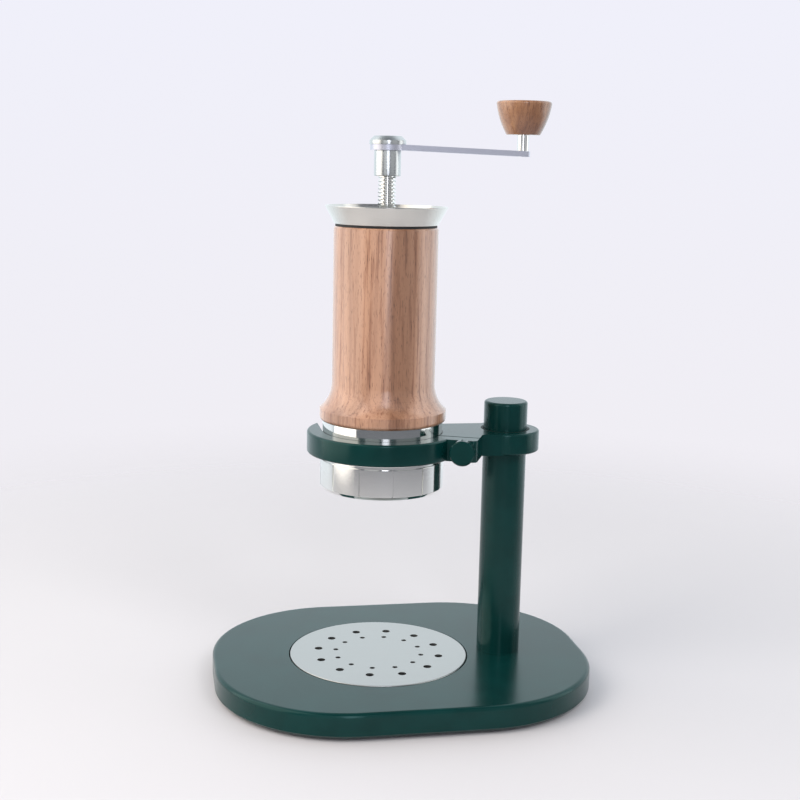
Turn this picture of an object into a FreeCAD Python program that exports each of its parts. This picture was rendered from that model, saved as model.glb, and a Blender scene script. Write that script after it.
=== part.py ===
"""Screw-driven manual espresso maker on its stand, in millimetres.

The origin is the middle of the base plate at the height of the table, with +Z up.
+X runs from the brewer towards the column and -Y is the front, where the clamp screw is.
"""
import FreeCAD, Part
import os
import re
import math
import Sketcher

os.makedirs("parts", exist_ok=True)
doc = FreeCAD.newDocument("EspressoMaker")

# Driving sizes
SIZES = {
    # gaps that many pieces share
    "clearance": 0.3,
    "overcut": 1.0,
    # stand
    "base_length": 217.0,
    "base_width": 172.0,
    "base_corner": 74.0,
    "plate_thickness": 13.8,
    "plate_round": 2.4,
    "plate_bevel": 1.6,
    "foot_diameter": 18.0,
    "foot_stand": 2.0,
    "foot_sink": 1.2,
    "foot_inset": 34.0,
    "brewer_offset": 13.0,
    "column_spacing": 72.0,
    "column_diameter": 25.0,
    "column_wall": 3.0,
    "column_top": 165.0,
    "column_cap_height": 3.6,
    "column_cap_round": 1.5,
    "cap_spigot": 8.0,
    "column_seat": 1.5,
    "plug_length": 20.0,
    "bolt_diameter": 8.0,
    "bolt_head": 13.0,
    "bolt_head_height": 4.6,
    "bolt_socket": 5.6,
    "bolt_socket_depth": 2.8,
    "bolt_clearance": 0.25,
    "bolt_end_gap": 2.0,
    "counterbore_gap": 2.0,
    "washer_thickness": 1.2,
    "washer_rim": 1.6,
    # drip tray
    "tray_diameter": 102.8,
    "tray_gap": 0.7,
    "recess_depth": 8.5,
    "pan_wall": 0.8,
    "grille_thickness": 1.2,
    "grille_proud": 0.3,
    "grille_lip": 2.0,
    "lip_width": 1.5,
    "grille_round": 0.4,
    "grille_turn": 12.6,
    "drain_holes": 12,
    "drain_hole": 4.6,
    "drain_circle": 70.8,
    "small_hole": 3.0,
    "small_circle": 50.2,
    # holder
    "holder_level": 136.6,
    "holder_height": 12.2,
    "ring_wall": 8.5,
    "ring_round": 1.2,
    "collar_outer": 39.2,
    "liner_wall": 1.4,
    "liner_clearance": 0.1,
    "liner_split": 1.2,
    "arm_back": 15.5,
    "arm_front": 18.4,
    "slit_angle": 23.2,
    "slit_offset": 4.9,
    "slit_width": 1.2,
    "jaw_length": 14.0,
    "jaw_thickness": 9.6,
    "jaw_round": 2.6,
    "screw_side": 6.8,
    "screw_thread": 5.0,
    "screw_depth": 16.0,
    "stud_end_gap": 1.0,
    "knurl_diameter": 14.0,
    "knurl_height": 7.0,
    "knurl_cover": 1.2,
    "knurl_scallops": 6,
    "knurl_scallop": 6.0,
    "knurl_scallop_depth": 0.8,
    "knurl_scallop_length": 5.0,
    "knurl_bevel": 0.7,
    "dowel_diameter": 3.0,
    "dowel_length": 14.0,
    "dowel_inset": 1.3,
    "dowel_clearance": 0.1,
    "dowel_end_gap": 0.5,
    "set_screw": 6.0,
    "set_screw_socket": 3.0,
    "set_screw_socket_depth": 2.5,
    # brewer body
    "body_diameter": 68.0,
    "body_top": 155.0,
    "spigot_diameter": 63.4,
    "spigot_level": 130.0,
    "shower_plate": 3.5,
    "shower_level": 134.5,
    "shower_holes": 8,
    "shower_hole": 2.5,
    "shower_circle": 28.0,
    "seal_bore": 53.6,
    "seal_outer": 61.6,
    "seal_groove_level": 131.0,
    "tube_fit": 0.05,
    "tube_seal_level": 146.0,
    "tube_seal_section": 2.0,
    "seal_side_gap": 0.15,
    "chamber_bore": 46.0,
    "chamber_wall": 2.0,
    "chamber_seat": 142.0,
    "sleeve_diameter": 58.2,
    "sleeve_bore": 50.6,
    "sleeve_top": 263.4,
    "sleeve_chamfer": 0.9,
    "flare_diameter": 71.6,
    "flare_level": 161.6,
    "flare_height": 14.4,
    "flare_foot": 2.2,
    "gasket_height": 1.4,
    "funnel_height": 10.0,
    "funnel_foot": 57.4,
    "funnel_mouth": 68.0,
    "funnel_wall": 1.3,
    "funnel_step": 3.2,
    "funnel_edge": 0.4,
    "thread_reach": 3.0,
    # spindle bearing
    "bridge_fit": 0.1,
    "bridge_ring": 1.9,
    "bridge_lip": 1.2,
    "bridge_arm_height": 8.0,
    "bridge_boss": 19.0,
    "bridge_arms": 3,
    "bridge_arm_width": 6.0,
    "nut_level": 246.0,
    "nut_height": 16.2,
    "nut_body": 14.0,
    "nut_flange": 18.0,
    "nut_flange_height": 2.6,
    # spindle and piston
    "thread_diameter": 10.0,
    "thread_core": 7.6,
    "thread_pitch": 2.0,
    "thread_clearance": 0.15,
    "thread_bottom": 209.6,
    "ridge_foot": 1.4,
    "ridge_crest": 0.72,
    "ridge_root": 0.5,
    "neck_diameter": 11.4,
    "hub_level": 291.0,
    "hub_diameter": 14.8,
    "hub_height": 14.0,
    "hub_bevel": 0.4,
    "arm_thickness": 3.0,
    "arm_droop": 2.0,
    "arm_end": 3.6,
    "arm_width": 15.0,
    "arm_tip": 9.0,
    "arm_tip_round": 2.2,
    "eye_diameter": 19.2,
    "cap_diameter": 20.2,
    "cap_height": 4.6,
    "cap_chamfer": 2.4,
    "cap_grip": 2.2,
    "crank_radius": 76.4,
    "knob_post": 6.6,
    "post_lift": 0.1,
    "knob_axle": 5.0,
    "knob_level": 315.0,
    "knob_height": 18.3,
    "knob_foot": 18.8,
    "knob_top": 30.8,
    "knob_bulge": 46.0,
    "knob_round": 1.4,
    "bush_fit": 0.05,
    "bush_wall": 1.2,
    "clip_diameter": 8.8,
    "clip_thickness": 1.4,
    "plug_depth": 3.0,
    "piston_level": 171.5,
    "piston_height": 18.0,
    "piston_clearance": 0.15,
    "ring_section": 2.6,
    "seal_low": 4.0,
    "seal_high": 11.2,
    "seal_gap": 0.05,
    "socket_diameter": 15.0,
    "socket_depth": 12.0,
    "thrust_flange": 14.0,
    "thrust_height": 3.0,
    "axial_play": 0.3,
    "valve_ports": 6,
    "valve_port": 3.4,
    "valve_circle": 29.0,
    "valve_disc": 38.0,
    "valve_thickness": 1.0,
    "valve_lift": 1.6,
    "valve_screw": 4.0,
    "valve_shoulder": 8.0,
    "valve_head": 14.0,
    "valve_head_height": 1.6,
    "pilot_roof": 1.0,
    # portafilter
    "portafilter_diameter": 70.2,
    "portafilter_level": 116.0,
    "portafilter_gap": 0.3,
    "portafilter_chamfer": 1.9,
    "groove_depth": 0.7,
    "groove_width": 1.6,
    "groove_drop": 1.6,
    "portafilter_edge": 0.4,
    "grip_lines": 12,
    "grip_width": 0.8,
    "grip_depth": 0.5,
    "ledge_level": 127.6,
    "basket_bore": 51.0,
    "basket_wall": 0.6,
    "basket_floor": 117.6,
    "basket_holes": 6,
    "basket_hole": 1.6,
    "hole_step": 6.6,
    "basket_gap": 0.2,
    "screen_level": 130.2,
    "screen_diameter": 49.0,
    "screen_thickness": 1.0,
    "screen_screw": 5.0,
    "screen_screw_head": 1.8,
    "screen_screw_top": 8.5,
    "screen_screw_depth": 5.0,
    "screen_boss": 10.0,
}

sheet = doc.addObject("Spreadsheet::Sheet", "Sizes")
for row, (alias, value) in enumerate(SIZES.items(), start=1):
    sheet.set(f"A{row}", alias)
    sheet.set(f"B{row}", str(value))
    sheet.setAlias(f"B{row}", alias)
doc.recompute()


# Helpers that bind geometry to the sheet
def bound(text):
    """The expression text with every alias written as a cell of the sheet."""
    def cell(word):
        return ("Sizes." if word.group() in SIZES else "") + word.group()

    return re.sub(r"[a-z][a-z_]*", cell, text)


def number(text):
    """The present value of an expression of aliases."""
    return float(sheet.evalExpression(text))


def place(item, x="0", y="0", z="0", turn="0"):
    """Give an object its place, and its turn about Z in degrees."""
    item.Placement = FreeCAD.Placement(FreeCAD.Vector(0, 0, 0), FreeCAD.Rotation(FreeCAD.Vector(0, 0, 1), 0))
    for axis, text in (("x", x), ("y", y), ("z", z)):
        item.setExpression(f"Placement.Base.{axis}", bound(text))
    if turn != "0":
        item.Placement.Rotation = FreeCAD.Rotation(FreeCAD.Vector(0, 0, 1), number(turn))
        item.setExpression("Placement.Rotation.Angle", bound(turn))
    return item


def new_body(name):
    """An empty body that becomes one sub-part."""
    body = doc.addObject("PartDesign::Body", name)
    body.Label = name
    return body


def new_sketch(body, name, plane="XY_Plane", lift="0"):
    """A sketch on one of the body's own origin planes, lifted along the plane's normal."""
    sketch = body.newObject("Sketcher::SketchObject", name)
    support = next(item for item in body.Origin.OriginFeatures if item.Role == plane)
    sketch.AttachmentSupport = [(support, "")]
    sketch.MapMode = "FlatFace"
    if lift != "0":
        sketch.setExpression("AttachmentOffset.Base.z", bound(lift))
    return sketch


def pin_point(sketch, geometry, vertex, across, along):
    """Tie a point of a sketch to two expressions measured from the sketch's origin."""
    for kind, axis, text in (("DistanceX", -2, across), ("DistanceY", -1, along)):
        value = number(text)
        if abs(value) < 1e-9:
            sketch.addConstraint(Sketcher.Constraint("PointOnObject", geometry, vertex, axis))
        else:
            index = sketch.addConstraint(Sketcher.Constraint(kind, -1, 1, geometry, vertex, value))
            sketch.setExpression(f"Constraints[{index}]", bound(text))


def arc_through(start, end, radius):
    """The short arc between two points; a positive radius bulges to the right of the way."""
    chord = end - start
    half = chord.Length / 2
    height = math.sqrt(max(radius * radius - half * half, 0.0))
    side = FreeCAD.Vector(chord.y, -chord.x, 0).normalize()
    rise = (abs(radius) - height) * (1 if radius > 0 else -1)
    return Part.Arc(start, start + chord * 0.5 + side * rise, end)


def draw_outline(sketch, corners):
    """Draw a closed outline: corners are (across, along) texts, with a radius text where an arc follows."""
    points = [FreeCAD.Vector(number(corner[0]), number(corner[1]), 0) for corner in corners]
    count = len(corners)
    first_end = {}
    for index, corner in enumerate(corners):
        start, end = points[index], points[(index + 1) % count]
        if len(corner) == 3:
            curve = arc_through(start, end, number(corner[2]))
            piece = sketch.addGeometry(curve, False)
            drawn_start = sketch.getPoint(piece, 1)
            first_end[index] = (1, 2) if (drawn_start - start).Length < 1e-6 else (2, 1)
            radius = sketch.addConstraint(Sketcher.Constraint("Radius", piece, abs(number(corner[2]))))
            sketch.setExpression(f"Constraints[{radius}]", bound(f"abs({corner[2]})"))
        else:
            sketch.addGeometry(Part.LineSegment(start, end), False)
            first_end[index] = (1, 2)
    for index in range(count):
        following = (index + 1) % count
        sketch.addConstraint(
            Sketcher.Constraint("Coincident", index, first_end[index][1], following, first_end[following][0]))
    for index, corner in enumerate(corners):
        pin_point(sketch, index, first_end[index][0], corner[0], corner[1])


def draw_circle(sketch, diameter, across="0", along="0"):
    """Draw a circle of a bound diameter about a bound centre."""
    centre = FreeCAD.Vector(number(across), number(along), 0)
    size = number(diameter)
    piece = sketch.addGeometry(Part.Circle(centre, FreeCAD.Vector(0, 0, 1), size / 2), False)
    index = sketch.addConstraint(Sketcher.Constraint("Diameter", piece, size))
    sketch.setExpression(f"Constraints[{index}]", bound(diameter))
    pin_point(sketch, piece, 3, across, along)


def turned(name, corners, x="0", z="0"):
    """A body turned about its own Z axis from corners of (radius, height)."""
    body = new_body(name)
    profile = new_sketch(body, name + "_profile", "XZ_Plane")
    draw_outline(profile, corners)
    revolution = body.newObject("PartDesign::Revolution", name + "_turning")
    revolution.Profile = profile
    revolution.ReferenceAxis = (profile, ["V_Axis"])
    revolution.Angle = 360
    profile.Visibility = False
    place(body, x=x, z=z)
    doc.recompute()
    return body


def pad(body, sketch, height, name):
    """Raise a sketch by a bound height."""
    feature = body.newObject("PartDesign::Pad", name)
    feature.Profile = sketch
    feature.setExpression("Length", bound(height))
    sketch.Visibility = False
    doc.recompute()
    return feature


def pocket(body, sketch, depth, name, upwards=True):
    """Cut a sketch into the body by a bound depth, upwards from the sketch unless told otherwise."""
    before = body.Shape.Volume
    feature = body.newObject("PartDesign::Pocket", name)
    feature.Profile = sketch
    feature.setExpression("Length", bound(depth))
    feature.Reversed = upwards
    sketch.Visibility = False
    doc.recompute()
    if not feature.Shape.Volume < before - 1e-6:
        raise ValueError(f"{name} removes nothing")
    return feature


def around(body, feature, copies, name):
    """Repeat a feature about the body's Z axis."""
    pattern = body.newObject("PartDesign::PolarPattern", name)
    pattern.Originals = [feature]
    pattern.Axis = (next(item for item in body.Origin.OriginFeatures if item.Role == "Z_Axis"), [""])
    pattern.Angle = 360
    pattern.setExpression("Occurrences", bound(copies))
    body.Tip = pattern
    doc.recompute()
    return pattern


def edges_where(shape, test):
    """Names of the edges of a shape whose middle and length pass a test."""
    names = []
    for index, edge in enumerate(shape.Edges, start=1):
        middle = edge.valueAt((edge.FirstParameter + edge.LastParameter) / 2)
        if test(edge, middle):
            names.append(f"Edge{index}")
    return names


def soften(body, kind, size, name, test):
    """Fillet or chamfer the edges of the body's tip that pass a test, by a bound size."""
    base = body.Tip
    edges = edges_where(base.Shape, test)
    if not edges:
        raise ValueError(f"{name} finds no edge")
    feature = body.newObject("PartDesign::" + kind, name)
    feature.Base = (base, edges)
    feature.setExpression("Radius" if kind == "Fillet" else "Size", bound(size))
    doc.recompute()
    return feature


def at_height(height):
    """A test for edges that lie wholly at one height."""
    return lambda edge, middle: (
        abs(middle.z - height) < 1e-4 and all(abs(vertex.Z - height) < 1e-4 for vertex in edge.Vertexes))


def upright_edges(edge, middle):
    """A test for straight edges along Z."""
    ends = [vertex.Point for vertex in edge.Vertexes]
    return len(ends) == 2 and abs(ends[0].x - ends[1].x) + abs(ends[0].y - ends[1].y) < 1e-4


def cylinder(name, diameter, height, x="0", y="0", z="0"):
    """A bound Part cylinder."""
    item = doc.addObject("Part::Cylinder", name)
    item.setExpression("Radius", bound(f"({diameter}) / 2"))
    item.setExpression("Height", bound(height))
    return place(item, x, y, z)


def group(name, members):
    """Several separate solids kept as one sub-part."""
    item = doc.addObject("Part::Compound", name)
    item.Links = members
    item.Label = name
    return item


# Places that several sub-parts share
BREWER = "-brewer_offset"
COLUMN = "(column_spacing - brewer_offset)"
PLATE_TOP = "(foot_stand + plate_thickness)"
RING_BORE = "(body_diameter + 2 * clearance)"
RING_OUTER = f"({RING_BORE} + 2 * ring_wall)"
JAW_REACH = f"({RING_OUTER} / 2 + jaw_length)"
SCREW_REACH = f"({RING_OUTER} / 2 + screw_side)"
DOWEL_REACH = f"({RING_OUTER} / 2 - dowel_inset)"
HOLDER_TOP = "(holder_level + holder_height)"
CHAMBER_OUTER = "(chamber_bore + 2 * chamber_wall)"
FUNNEL_LEVEL = "(sleeve_top + gasket_height)"
PISTON_TOP = "(piston_level + piston_height)"
HUB_TOP = "(hub_level + hub_height)"
LINER_BORE = "(column_diameter + 2 * liner_clearance)"
LINER_OUTER = "(column_diameter + 2 * liner_clearance + 2 * liner_wall)"
ARM_BORE = "(column_diameter + 4 * liner_clearance + 2 * liner_wall)"
PORTAFILTER_TOP = "(holder_level - portafilter_gap)"
SEAL_FACE = "(ledge_level + basket_gap + basket_wall)"
CRANK_END = "(crank_radius - brewer_offset)"
ARM_REACH = "(crank_radius + arm_end)"
ARM_DROP = f"(arm_droop * (crank_radius - eye_diameter / 2) / ({ARM_REACH} - eye_diameter / 2))"
KNOB_WELL = "(knob_height - plug_depth - 2 * clearance - clip_thickness)"
CLIP_LEVEL = "(knob_level + knob_height - plug_depth - clearance - clip_thickness)"
CLIP_ROOM = "(clip_diameter / 2 + 2 * clearance)"


# Stand
def base_plate():
    """Rounded plate with the tray recess, the column seat and the bolt's counterbore."""
    body = new_body("base_plate")
    outline = new_sketch(body, "plate_outline")
    left, right = "-base_length / 2", "base_length / 2"
    front, back = "-base_width / 2", "base_width / 2"
    draw_outline(outline, [(left, front), (right, front), (right, back), (left, back)])
    pad(body, outline, "plate_thickness", "plate")
    soften(body, "Fillet", "base_corner", "plate_corners", upright_edges)
    soften(body, "Fillet", "plate_round", "plate_top_edge", at_height(number("plate_thickness")))
    soften(body, "Chamfer", "plate_bevel", "plate_under_edge", at_height(0.0))

    recess = new_sketch(body, "tray_recess_outline", lift="plate_thickness")
    draw_circle(recess, "tray_diameter + 2 * tray_gap", BREWER)
    pocket(body, recess, "recess_depth", "tray_recess", upwards=False)

    seat = new_sketch(body, "column_seat_outline", lift="plate_thickness")
    draw_circle(seat, "column_diameter", COLUMN)
    pocket(body, seat, "column_seat", "column_seat_pocket", upwards=False)

    bolt = new_sketch(body, "bolt_hole_outline")
    draw_circle(bolt, "bolt_diameter + 2 * bolt_clearance", COLUMN)
    pocket(body, bolt, "plate_thickness", "bolt_hole")

    head = new_sketch(body, "bolt_head_outline")
    draw_circle(head, "bolt_head + 2 * counterbore_gap", COLUMN)
    pocket(body, head, "bolt_head_height + washer_thickness", "bolt_counterbore")

    for index, (side, edge) in enumerate(((-1, -1), (1, -1), (1, 1), (-1, 1)), start=1):
        foot = new_sketch(body, f"foot_seat_outline_{index}")
        draw_circle(foot, "foot_diameter", foot_x(side), foot_y(edge))
        pocket(body, foot, "foot_sink", f"foot_seat_{index}")
    return place(body, z="foot_stand")


def foot_x(side):
    """Distance of a foot from the middle of the plate along X."""
    return f"{side} * (base_length / 2 - foot_inset)"


def foot_y(side):
    """Distance of a foot from the middle of the plate along Y."""
    return f"{side} * (base_width / 2 - foot_inset)"


def base_feet():
    """Four rubber discs glued into seats under the plate."""
    feet = []
    for index, (side, edge) in enumerate(((-1, -1), (1, -1), (1, 1), (-1, 1)), start=1):
        height = "foot_stand + foot_sink"
        feet.append(cylinder(f"foot_{index}", "foot_diameter", height, foot_x(side), foot_y(edge)))
    return group("base_feet", feet)


def column_tube():
    """Powder-coated tube that stands in its seat in the plate."""
    outer, inner = "column_diameter / 2", "column_diameter / 2 - column_wall"
    height = f"column_top - column_cap_height - {PLATE_TOP} + column_seat"
    corners = [(inner, "0"), (outer, "0"), (outer, height), (inner, height)]
    return turned("column_tube", corners, COLUMN, f"{PLATE_TOP} - column_seat")


def column_cap():
    """Turned cap whose spigot is pressed into the tube."""
    outer = "column_diameter / 2"
    inner = "column_diameter / 2 - column_wall"
    spigot, top = "cap_spigot", "cap_spigot + column_cap_height"
    corners = [
        ("0", "0"), (inner, "0"), (inner, spigot), (outer, spigot),
        (outer, f"{top} - column_cap_round", "column_cap_round"),
        (f"{outer} - column_cap_round", top), ("0", top)]
    return turned("column_cap", corners, COLUMN, f"column_top - column_cap_height - {spigot}")


def column_foot_plug():
    """Steel plug in the foot of the tube, tapped for the bolt."""
    outer, thread = "column_diameter / 2 - column_wall", "bolt_diameter / 2"
    corners = [(thread, "0"), (outer, "0"), (outer, "plug_length"), (thread, "plug_length")]
    return turned("column_foot_plug", corners, COLUMN, f"{PLATE_TOP} - column_seat")


def column_bolt():
    """Socket-head bolt up through the plate into the plug."""
    head, shank, socket = "bolt_head / 2", "bolt_diameter / 2", "bolt_socket / 2"
    length = "plate_thickness - column_seat + plug_length - bolt_end_gap"
    corners = [
        (socket, "0"), (head, "0"), (head, "bolt_head_height"), (shank, "bolt_head_height"),
        (shank, length), ("0", length), ("0", "bolt_socket_depth"), (socket, "bolt_socket_depth")]
    return turned("column_bolt", corners, COLUMN, "foot_stand")


def column_washer():
    """Washer between the bolt's head and the plate."""
    inner, outer = "bolt_diameter / 2 + bolt_clearance", "bolt_head / 2 + washer_rim"
    corners = [(inner, "0"), (outer, "0"), (outer, "washer_thickness"), (inner, "washer_thickness")]
    return turned("column_washer", corners, COLUMN, "foot_stand + bolt_head_height")


# Drip tray
def drip_pan():
    """Shallow pressed pan that stands on the floor of the recess and lifts out."""
    outer, inner = "tray_diameter / 2", "tray_diameter / 2 - pan_wall"
    rim = "recess_depth + grille_proud - grille_thickness"
    corners = [("0", "0"), (outer, "0"), (outer, rim), (inner, rim), (inner, "pan_wall"), ("0", "pan_wall")]
    return turned("drip_pan", corners, BREWER, f"{PLATE_TOP} - recess_depth")


def drip_grille():
    """Punched disc on the pan's rim, with two rings of holes and a locating lip below."""
    body = new_body("drip_grille")
    disc = new_sketch(body, "grille_outline")
    draw_circle(disc, "tray_diameter")
    pad(body, disc, "grille_thickness", "grille_disc")
    soften(body, "Fillet", "grille_round", "grille_edge", at_height(number("grille_thickness")))
    lip = new_sketch(body, "grille_lip_outline", lift="-grille_lip")
    lip_outer = "tray_diameter - 2 * pan_wall - 4 * clearance"
    draw_circle(lip, lip_outer)
    draw_circle(lip, f"{lip_outer} - 2 * lip_width")
    pad(body, lip, "grille_lip", "grille_lip_ring")
    rings = (("drain", "drain_hole", "drain_circle"), ("small", "small_hole", "small_circle"))
    for name, size, circle in rings:
        hole = new_sketch(body, f"{name}_hole_outline")
        draw_circle(hole, size, f"{circle} / 2")
        cut = pocket(body, hole, "grille_thickness", f"{name}_hole_cut")
        around(body, cut, "drain_holes", f"{name}_holes")
    return place(body, BREWER, z=f"{PLATE_TOP} + grille_proud - grille_thickness", turn="grille_turn")


# Holder
def collar_liner():
    """Split nylon liner between the column and the holder's collar."""
    inner, outer, half = f"{LINER_BORE} / 2", f"{LINER_OUTER} / 2", "liner_split / 2"
    corners = [(inner, "0"), (outer, "0"), (outer, "holder_height"), (inner, "holder_height")]
    body = turned("collar_liner", corners, COLUMN, "holder_level")
    split = new_sketch(body, "liner_split_outline")
    far, near = f"-{outer} - overcut", f"-{inner} + overcut"
    draw_outline(split, [(far, f"-{half}"), (near, f"-{half}"), (near, half), (far, half)])
    pocket(body, split, "holder_height", "liner_split")
    return body


def ring_blank(name, length):
    """The holder ring's outer cylinder, about the brewer's axis."""
    return cylinder(name, RING_OUTER, length, BREWER, z="holder_level")


def slit_box(name, start, reach, inner, outer, height="holder_height"):
    """A box in the clamp slit's own axes: along the slit from start to reach, forward from inner to outer."""
    box = doc.addObject("Part::Box", name)
    box.setExpression("Length", bound(f"({reach}) - ({start})"))
    box.setExpression("Width", bound(f"({outer}) - ({inner})"))
    box.setExpression("Height", bound(height))
    along, forward = f"({start})", f"({outer})"
    x = f"{BREWER} + {along} * cos(slit_angle * 1deg) - {forward} * sin(slit_angle * 1deg)"
    y = f"-{along} * sin(slit_angle * 1deg) - {forward} * cos(slit_angle * 1deg)"
    return place(box, x, y, "holder_level", "-slit_angle")


def plain_box(name, x, y, z, length, width, height):
    """A bound box by its low corner and its sides."""
    box = doc.addObject("Part::Box", name)
    box.setExpression("Length", bound(length))
    box.setExpression("Width", bound(width))
    box.setExpression("Height", bound(height))
    return place(box, x, y, z)


def joined(name, members):
    """A union of Part objects."""
    item = doc.addObject("Part::MultiFuse", name)
    item.Shapes = members
    item.Refine = True
    return item


def without(name, base, tool):
    """One Part object less another."""
    item = doc.addObject("Part::Cut", name)
    item.Base = base
    item.Tool = tool
    item.Refine = True
    return item


def rounded(name, base, size, test):
    """A Part fillet of a size from the sheet on the edges that pass a test."""
    doc.recompute()
    radius = number(size)
    item = doc.addObject("Part::Fillet", name)
    item.Base = base
    item.Edges = [(int(edge[4:]), radius, radius) for edge in edges_where(base.Shape, test)]
    item.Label = name
    return item


def outer_rim(edge, middle):
    """A test for the outer edges of the holder at its top and its underside."""
    low, high = number("holder_level"), number(HOLDER_TOP)
    if not all(min(abs(vertex.Z - low), abs(vertex.Z - high)) < 1e-4 for vertex in edge.Vertexes):
        return False
    if abs(middle.z - low) > 1e-4 and abs(middle.z - high) > 1e-4:
        return False
    from_brewer = math.hypot(middle.x - number(BREWER), middle.y)
    from_column = math.hypot(middle.x - number(COLUMN), middle.y)
    on_ring = abs(from_brewer - number(RING_OUTER) / 2) < 1e-3
    on_collar = abs(from_column - number("collar_outer") / 2) < 1e-3
    return on_ring or on_collar


def brewer_mouth(name):
    """The bore that takes the brewer, open towards the back between straight sides."""
    bore = cylinder(name + "_bore", RING_BORE, "holder_height", BREWER, z="holder_level")
    side = f"{RING_BORE} / 2"
    opening = plain_box(
        name + "_opening", f"{BREWER} - {side}", "0", "holder_level", RING_BORE, RING_OUTER, "holder_height")
    return joined(name, [bore, opening])


def holder_arm():
    """Column collar, arm and the right-hand horn of the ring, in one casting."""
    ring = ring_blank("arm_ring_blank", "holder_height")
    collar = cylinder("arm_collar_blank", "collar_outer", "holder_height", COLUMN, z="holder_level")
    bar = plain_box(
        "arm_bar", f"{BREWER} + body_diameter / 4", "-arm_front", "holder_level",
        "column_spacing - body_diameter / 4", "arm_front + arm_back", "holder_height")
    lug = slit_box("arm_lug", f"{RING_BORE} / 4", JAW_REACH, "-slit_offset", "slit_offset")
    blank = joined("arm_blank", [ring, collar, bar, lug])
    front = slit_box(
        "arm_front_cut", f"-{RING_OUTER}", f"{JAW_REACH} + collar_outer / 4",
        "slit_offset", f"slit_offset + {RING_OUTER}")
    left = plain_box(
        "arm_left_cut", f"{BREWER} - {RING_OUTER}", f"-{RING_OUTER}", "holder_level",
        RING_OUTER, f"2 * {RING_OUTER}", "holder_height")
    column = cylinder("arm_column_bore", ARM_BORE, "holder_height", COLUMN, z="holder_level")
    screw = slit_cylinder("arm_screw_hole", "screw_thread", "slit_offset - screw_depth", "slit_offset")
    dowel = slit_cylinder(
        "arm_dowel_hole", "dowel_diameter", "slit_offset - dowel_length / 2", "slit_offset", DOWEL_REACH)
    grub = set_screw_cylinder(
        "arm_set_screw_hole", "set_screw", f"{ARM_BORE} / 2 - overcut", "collar_outer / 2 + overcut")
    tools = joined("arm_tools", [brewer_mouth("arm_mouth"), front, left, column, screw, grub, dowel])
    cut = without("arm_cut", blank, tools)
    return rounded("holder_arm", cut, "ring_round", outer_rim)


def slit_forward():
    """The direction square to the clamp slit, towards the front."""
    angle = math.radians(number("slit_angle"))
    return FreeCAD.Vector(-math.sin(angle), -math.cos(angle), 0)


def slit_cylinder(name, diameter, inner, outer, along=SCREW_REACH):
    """A cylinder square to the slit, from one distance in front of the brewer's axis to another."""
    item = doc.addObject("Part::Cylinder", name)
    item.setExpression("Radius", bound(f"({diameter}) / 2"))
    item.setExpression("Height", bound(f"({outer}) - ({inner})"))
    start = f"({inner})"
    x = f"{BREWER} + {along} * cos(slit_angle * 1deg) - {start} * sin(slit_angle * 1deg)"
    y = f"-{along} * sin(slit_angle * 1deg) - {start} * cos(slit_angle * 1deg)"
    place(item, x, y, "holder_level + holder_height / 2")
    item.Placement.Rotation = FreeCAD.Rotation(FreeCAD.Vector(0, 0, 1), slit_forward())
    return item


def set_screw_cylinder(name, diameter, inner, outer):
    """A cylinder along +X through the far wall of the column collar."""
    item = doc.addObject("Part::Cylinder", name)
    item.setExpression("Radius", bound(f"({diameter}) / 2"))
    item.setExpression("Height", bound(f"({outer}) - ({inner})"))
    place(item, f"{COLUMN} + {inner}", "0", "holder_level + holder_height / 2")
    item.Placement.Rotation = FreeCAD.Rotation(FreeCAD.Vector(0, 1, 0), 90)
    return item


def collar_set_screw():
    """Cup-point screw that presses the liner on the column, with a hexagon socket."""
    shank = set_screw_cylinder("set_screw_shank", "set_screw", f"{ARM_BORE} / 2", "collar_outer / 2")
    socket = set_screw_cylinder(
        "set_screw_key_hole", "set_screw_socket",
        "collar_outer / 2 - set_screw_socket_depth", "collar_outer / 2")
    item = without("collar_set_screw", shank, socket)
    item.Label = "collar_set_screw"
    return item


def ring_strap():
    """Front and left of the ring with its jaw, drawn up to the arm by the clamp screw."""
    ring = ring_blank("strap_ring_blank", "holder_height")
    jaw = slit_box("strap_jaw", f"{RING_BORE} / 2", JAW_REACH, "slit_offset", "slit_offset + jaw_thickness")
    blank = joined("strap_blank", [ring, jaw])
    back = slit_box("strap_back_cut", "0", RING_OUTER, f"-{RING_OUTER}", "slit_offset + slit_width")
    screw = slit_cylinder(
        "strap_screw_hole", "screw_thread + 2 * clearance",
        "slit_offset", "slit_offset + jaw_thickness + overcut")
    dowel = slit_cylinder(
        "strap_dowel_hole", "dowel_diameter + 2 * dowel_clearance", "slit_offset",
        "slit_offset + dowel_length / 2 + dowel_end_gap", DOWEL_REACH)
    tools = joined("strap_tools", [brewer_mouth("strap_mouth"), back, screw, dowel])
    cut = without("strap_cut", blank, tools)
    end = rounded("strap_rounded_jaw", cut, "jaw_round", jaw_corner)
    return rounded("ring_strap", end, "ring_round", outer_rim)


def jaw_corner(edge, middle):
    """A test for the upright edge at the front of the jaw's free end."""
    angle = math.radians(number("slit_angle"))
    across, depth = middle.x - number(BREWER), -middle.y
    along = across * math.cos(angle) + depth * math.sin(angle)
    forward = -across * math.sin(angle) + depth * math.cos(angle)
    at_end = abs(along - number(JAW_REACH)) < 1e-3
    at_front = abs(forward - number("slit_offset + jaw_thickness")) < 1e-3
    return upright_edges(edge, middle) and at_end and at_front


def strap_dowel():
    """Pin in the arm, on which the strap's jaw slides."""
    item = slit_cylinder(
        "strap_dowel", "dowel_diameter", "slit_offset - dowel_length / 2", "slit_offset + dowel_length / 2",
        DOWEL_REACH)
    item.Label = "strap_dowel"
    return item


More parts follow.
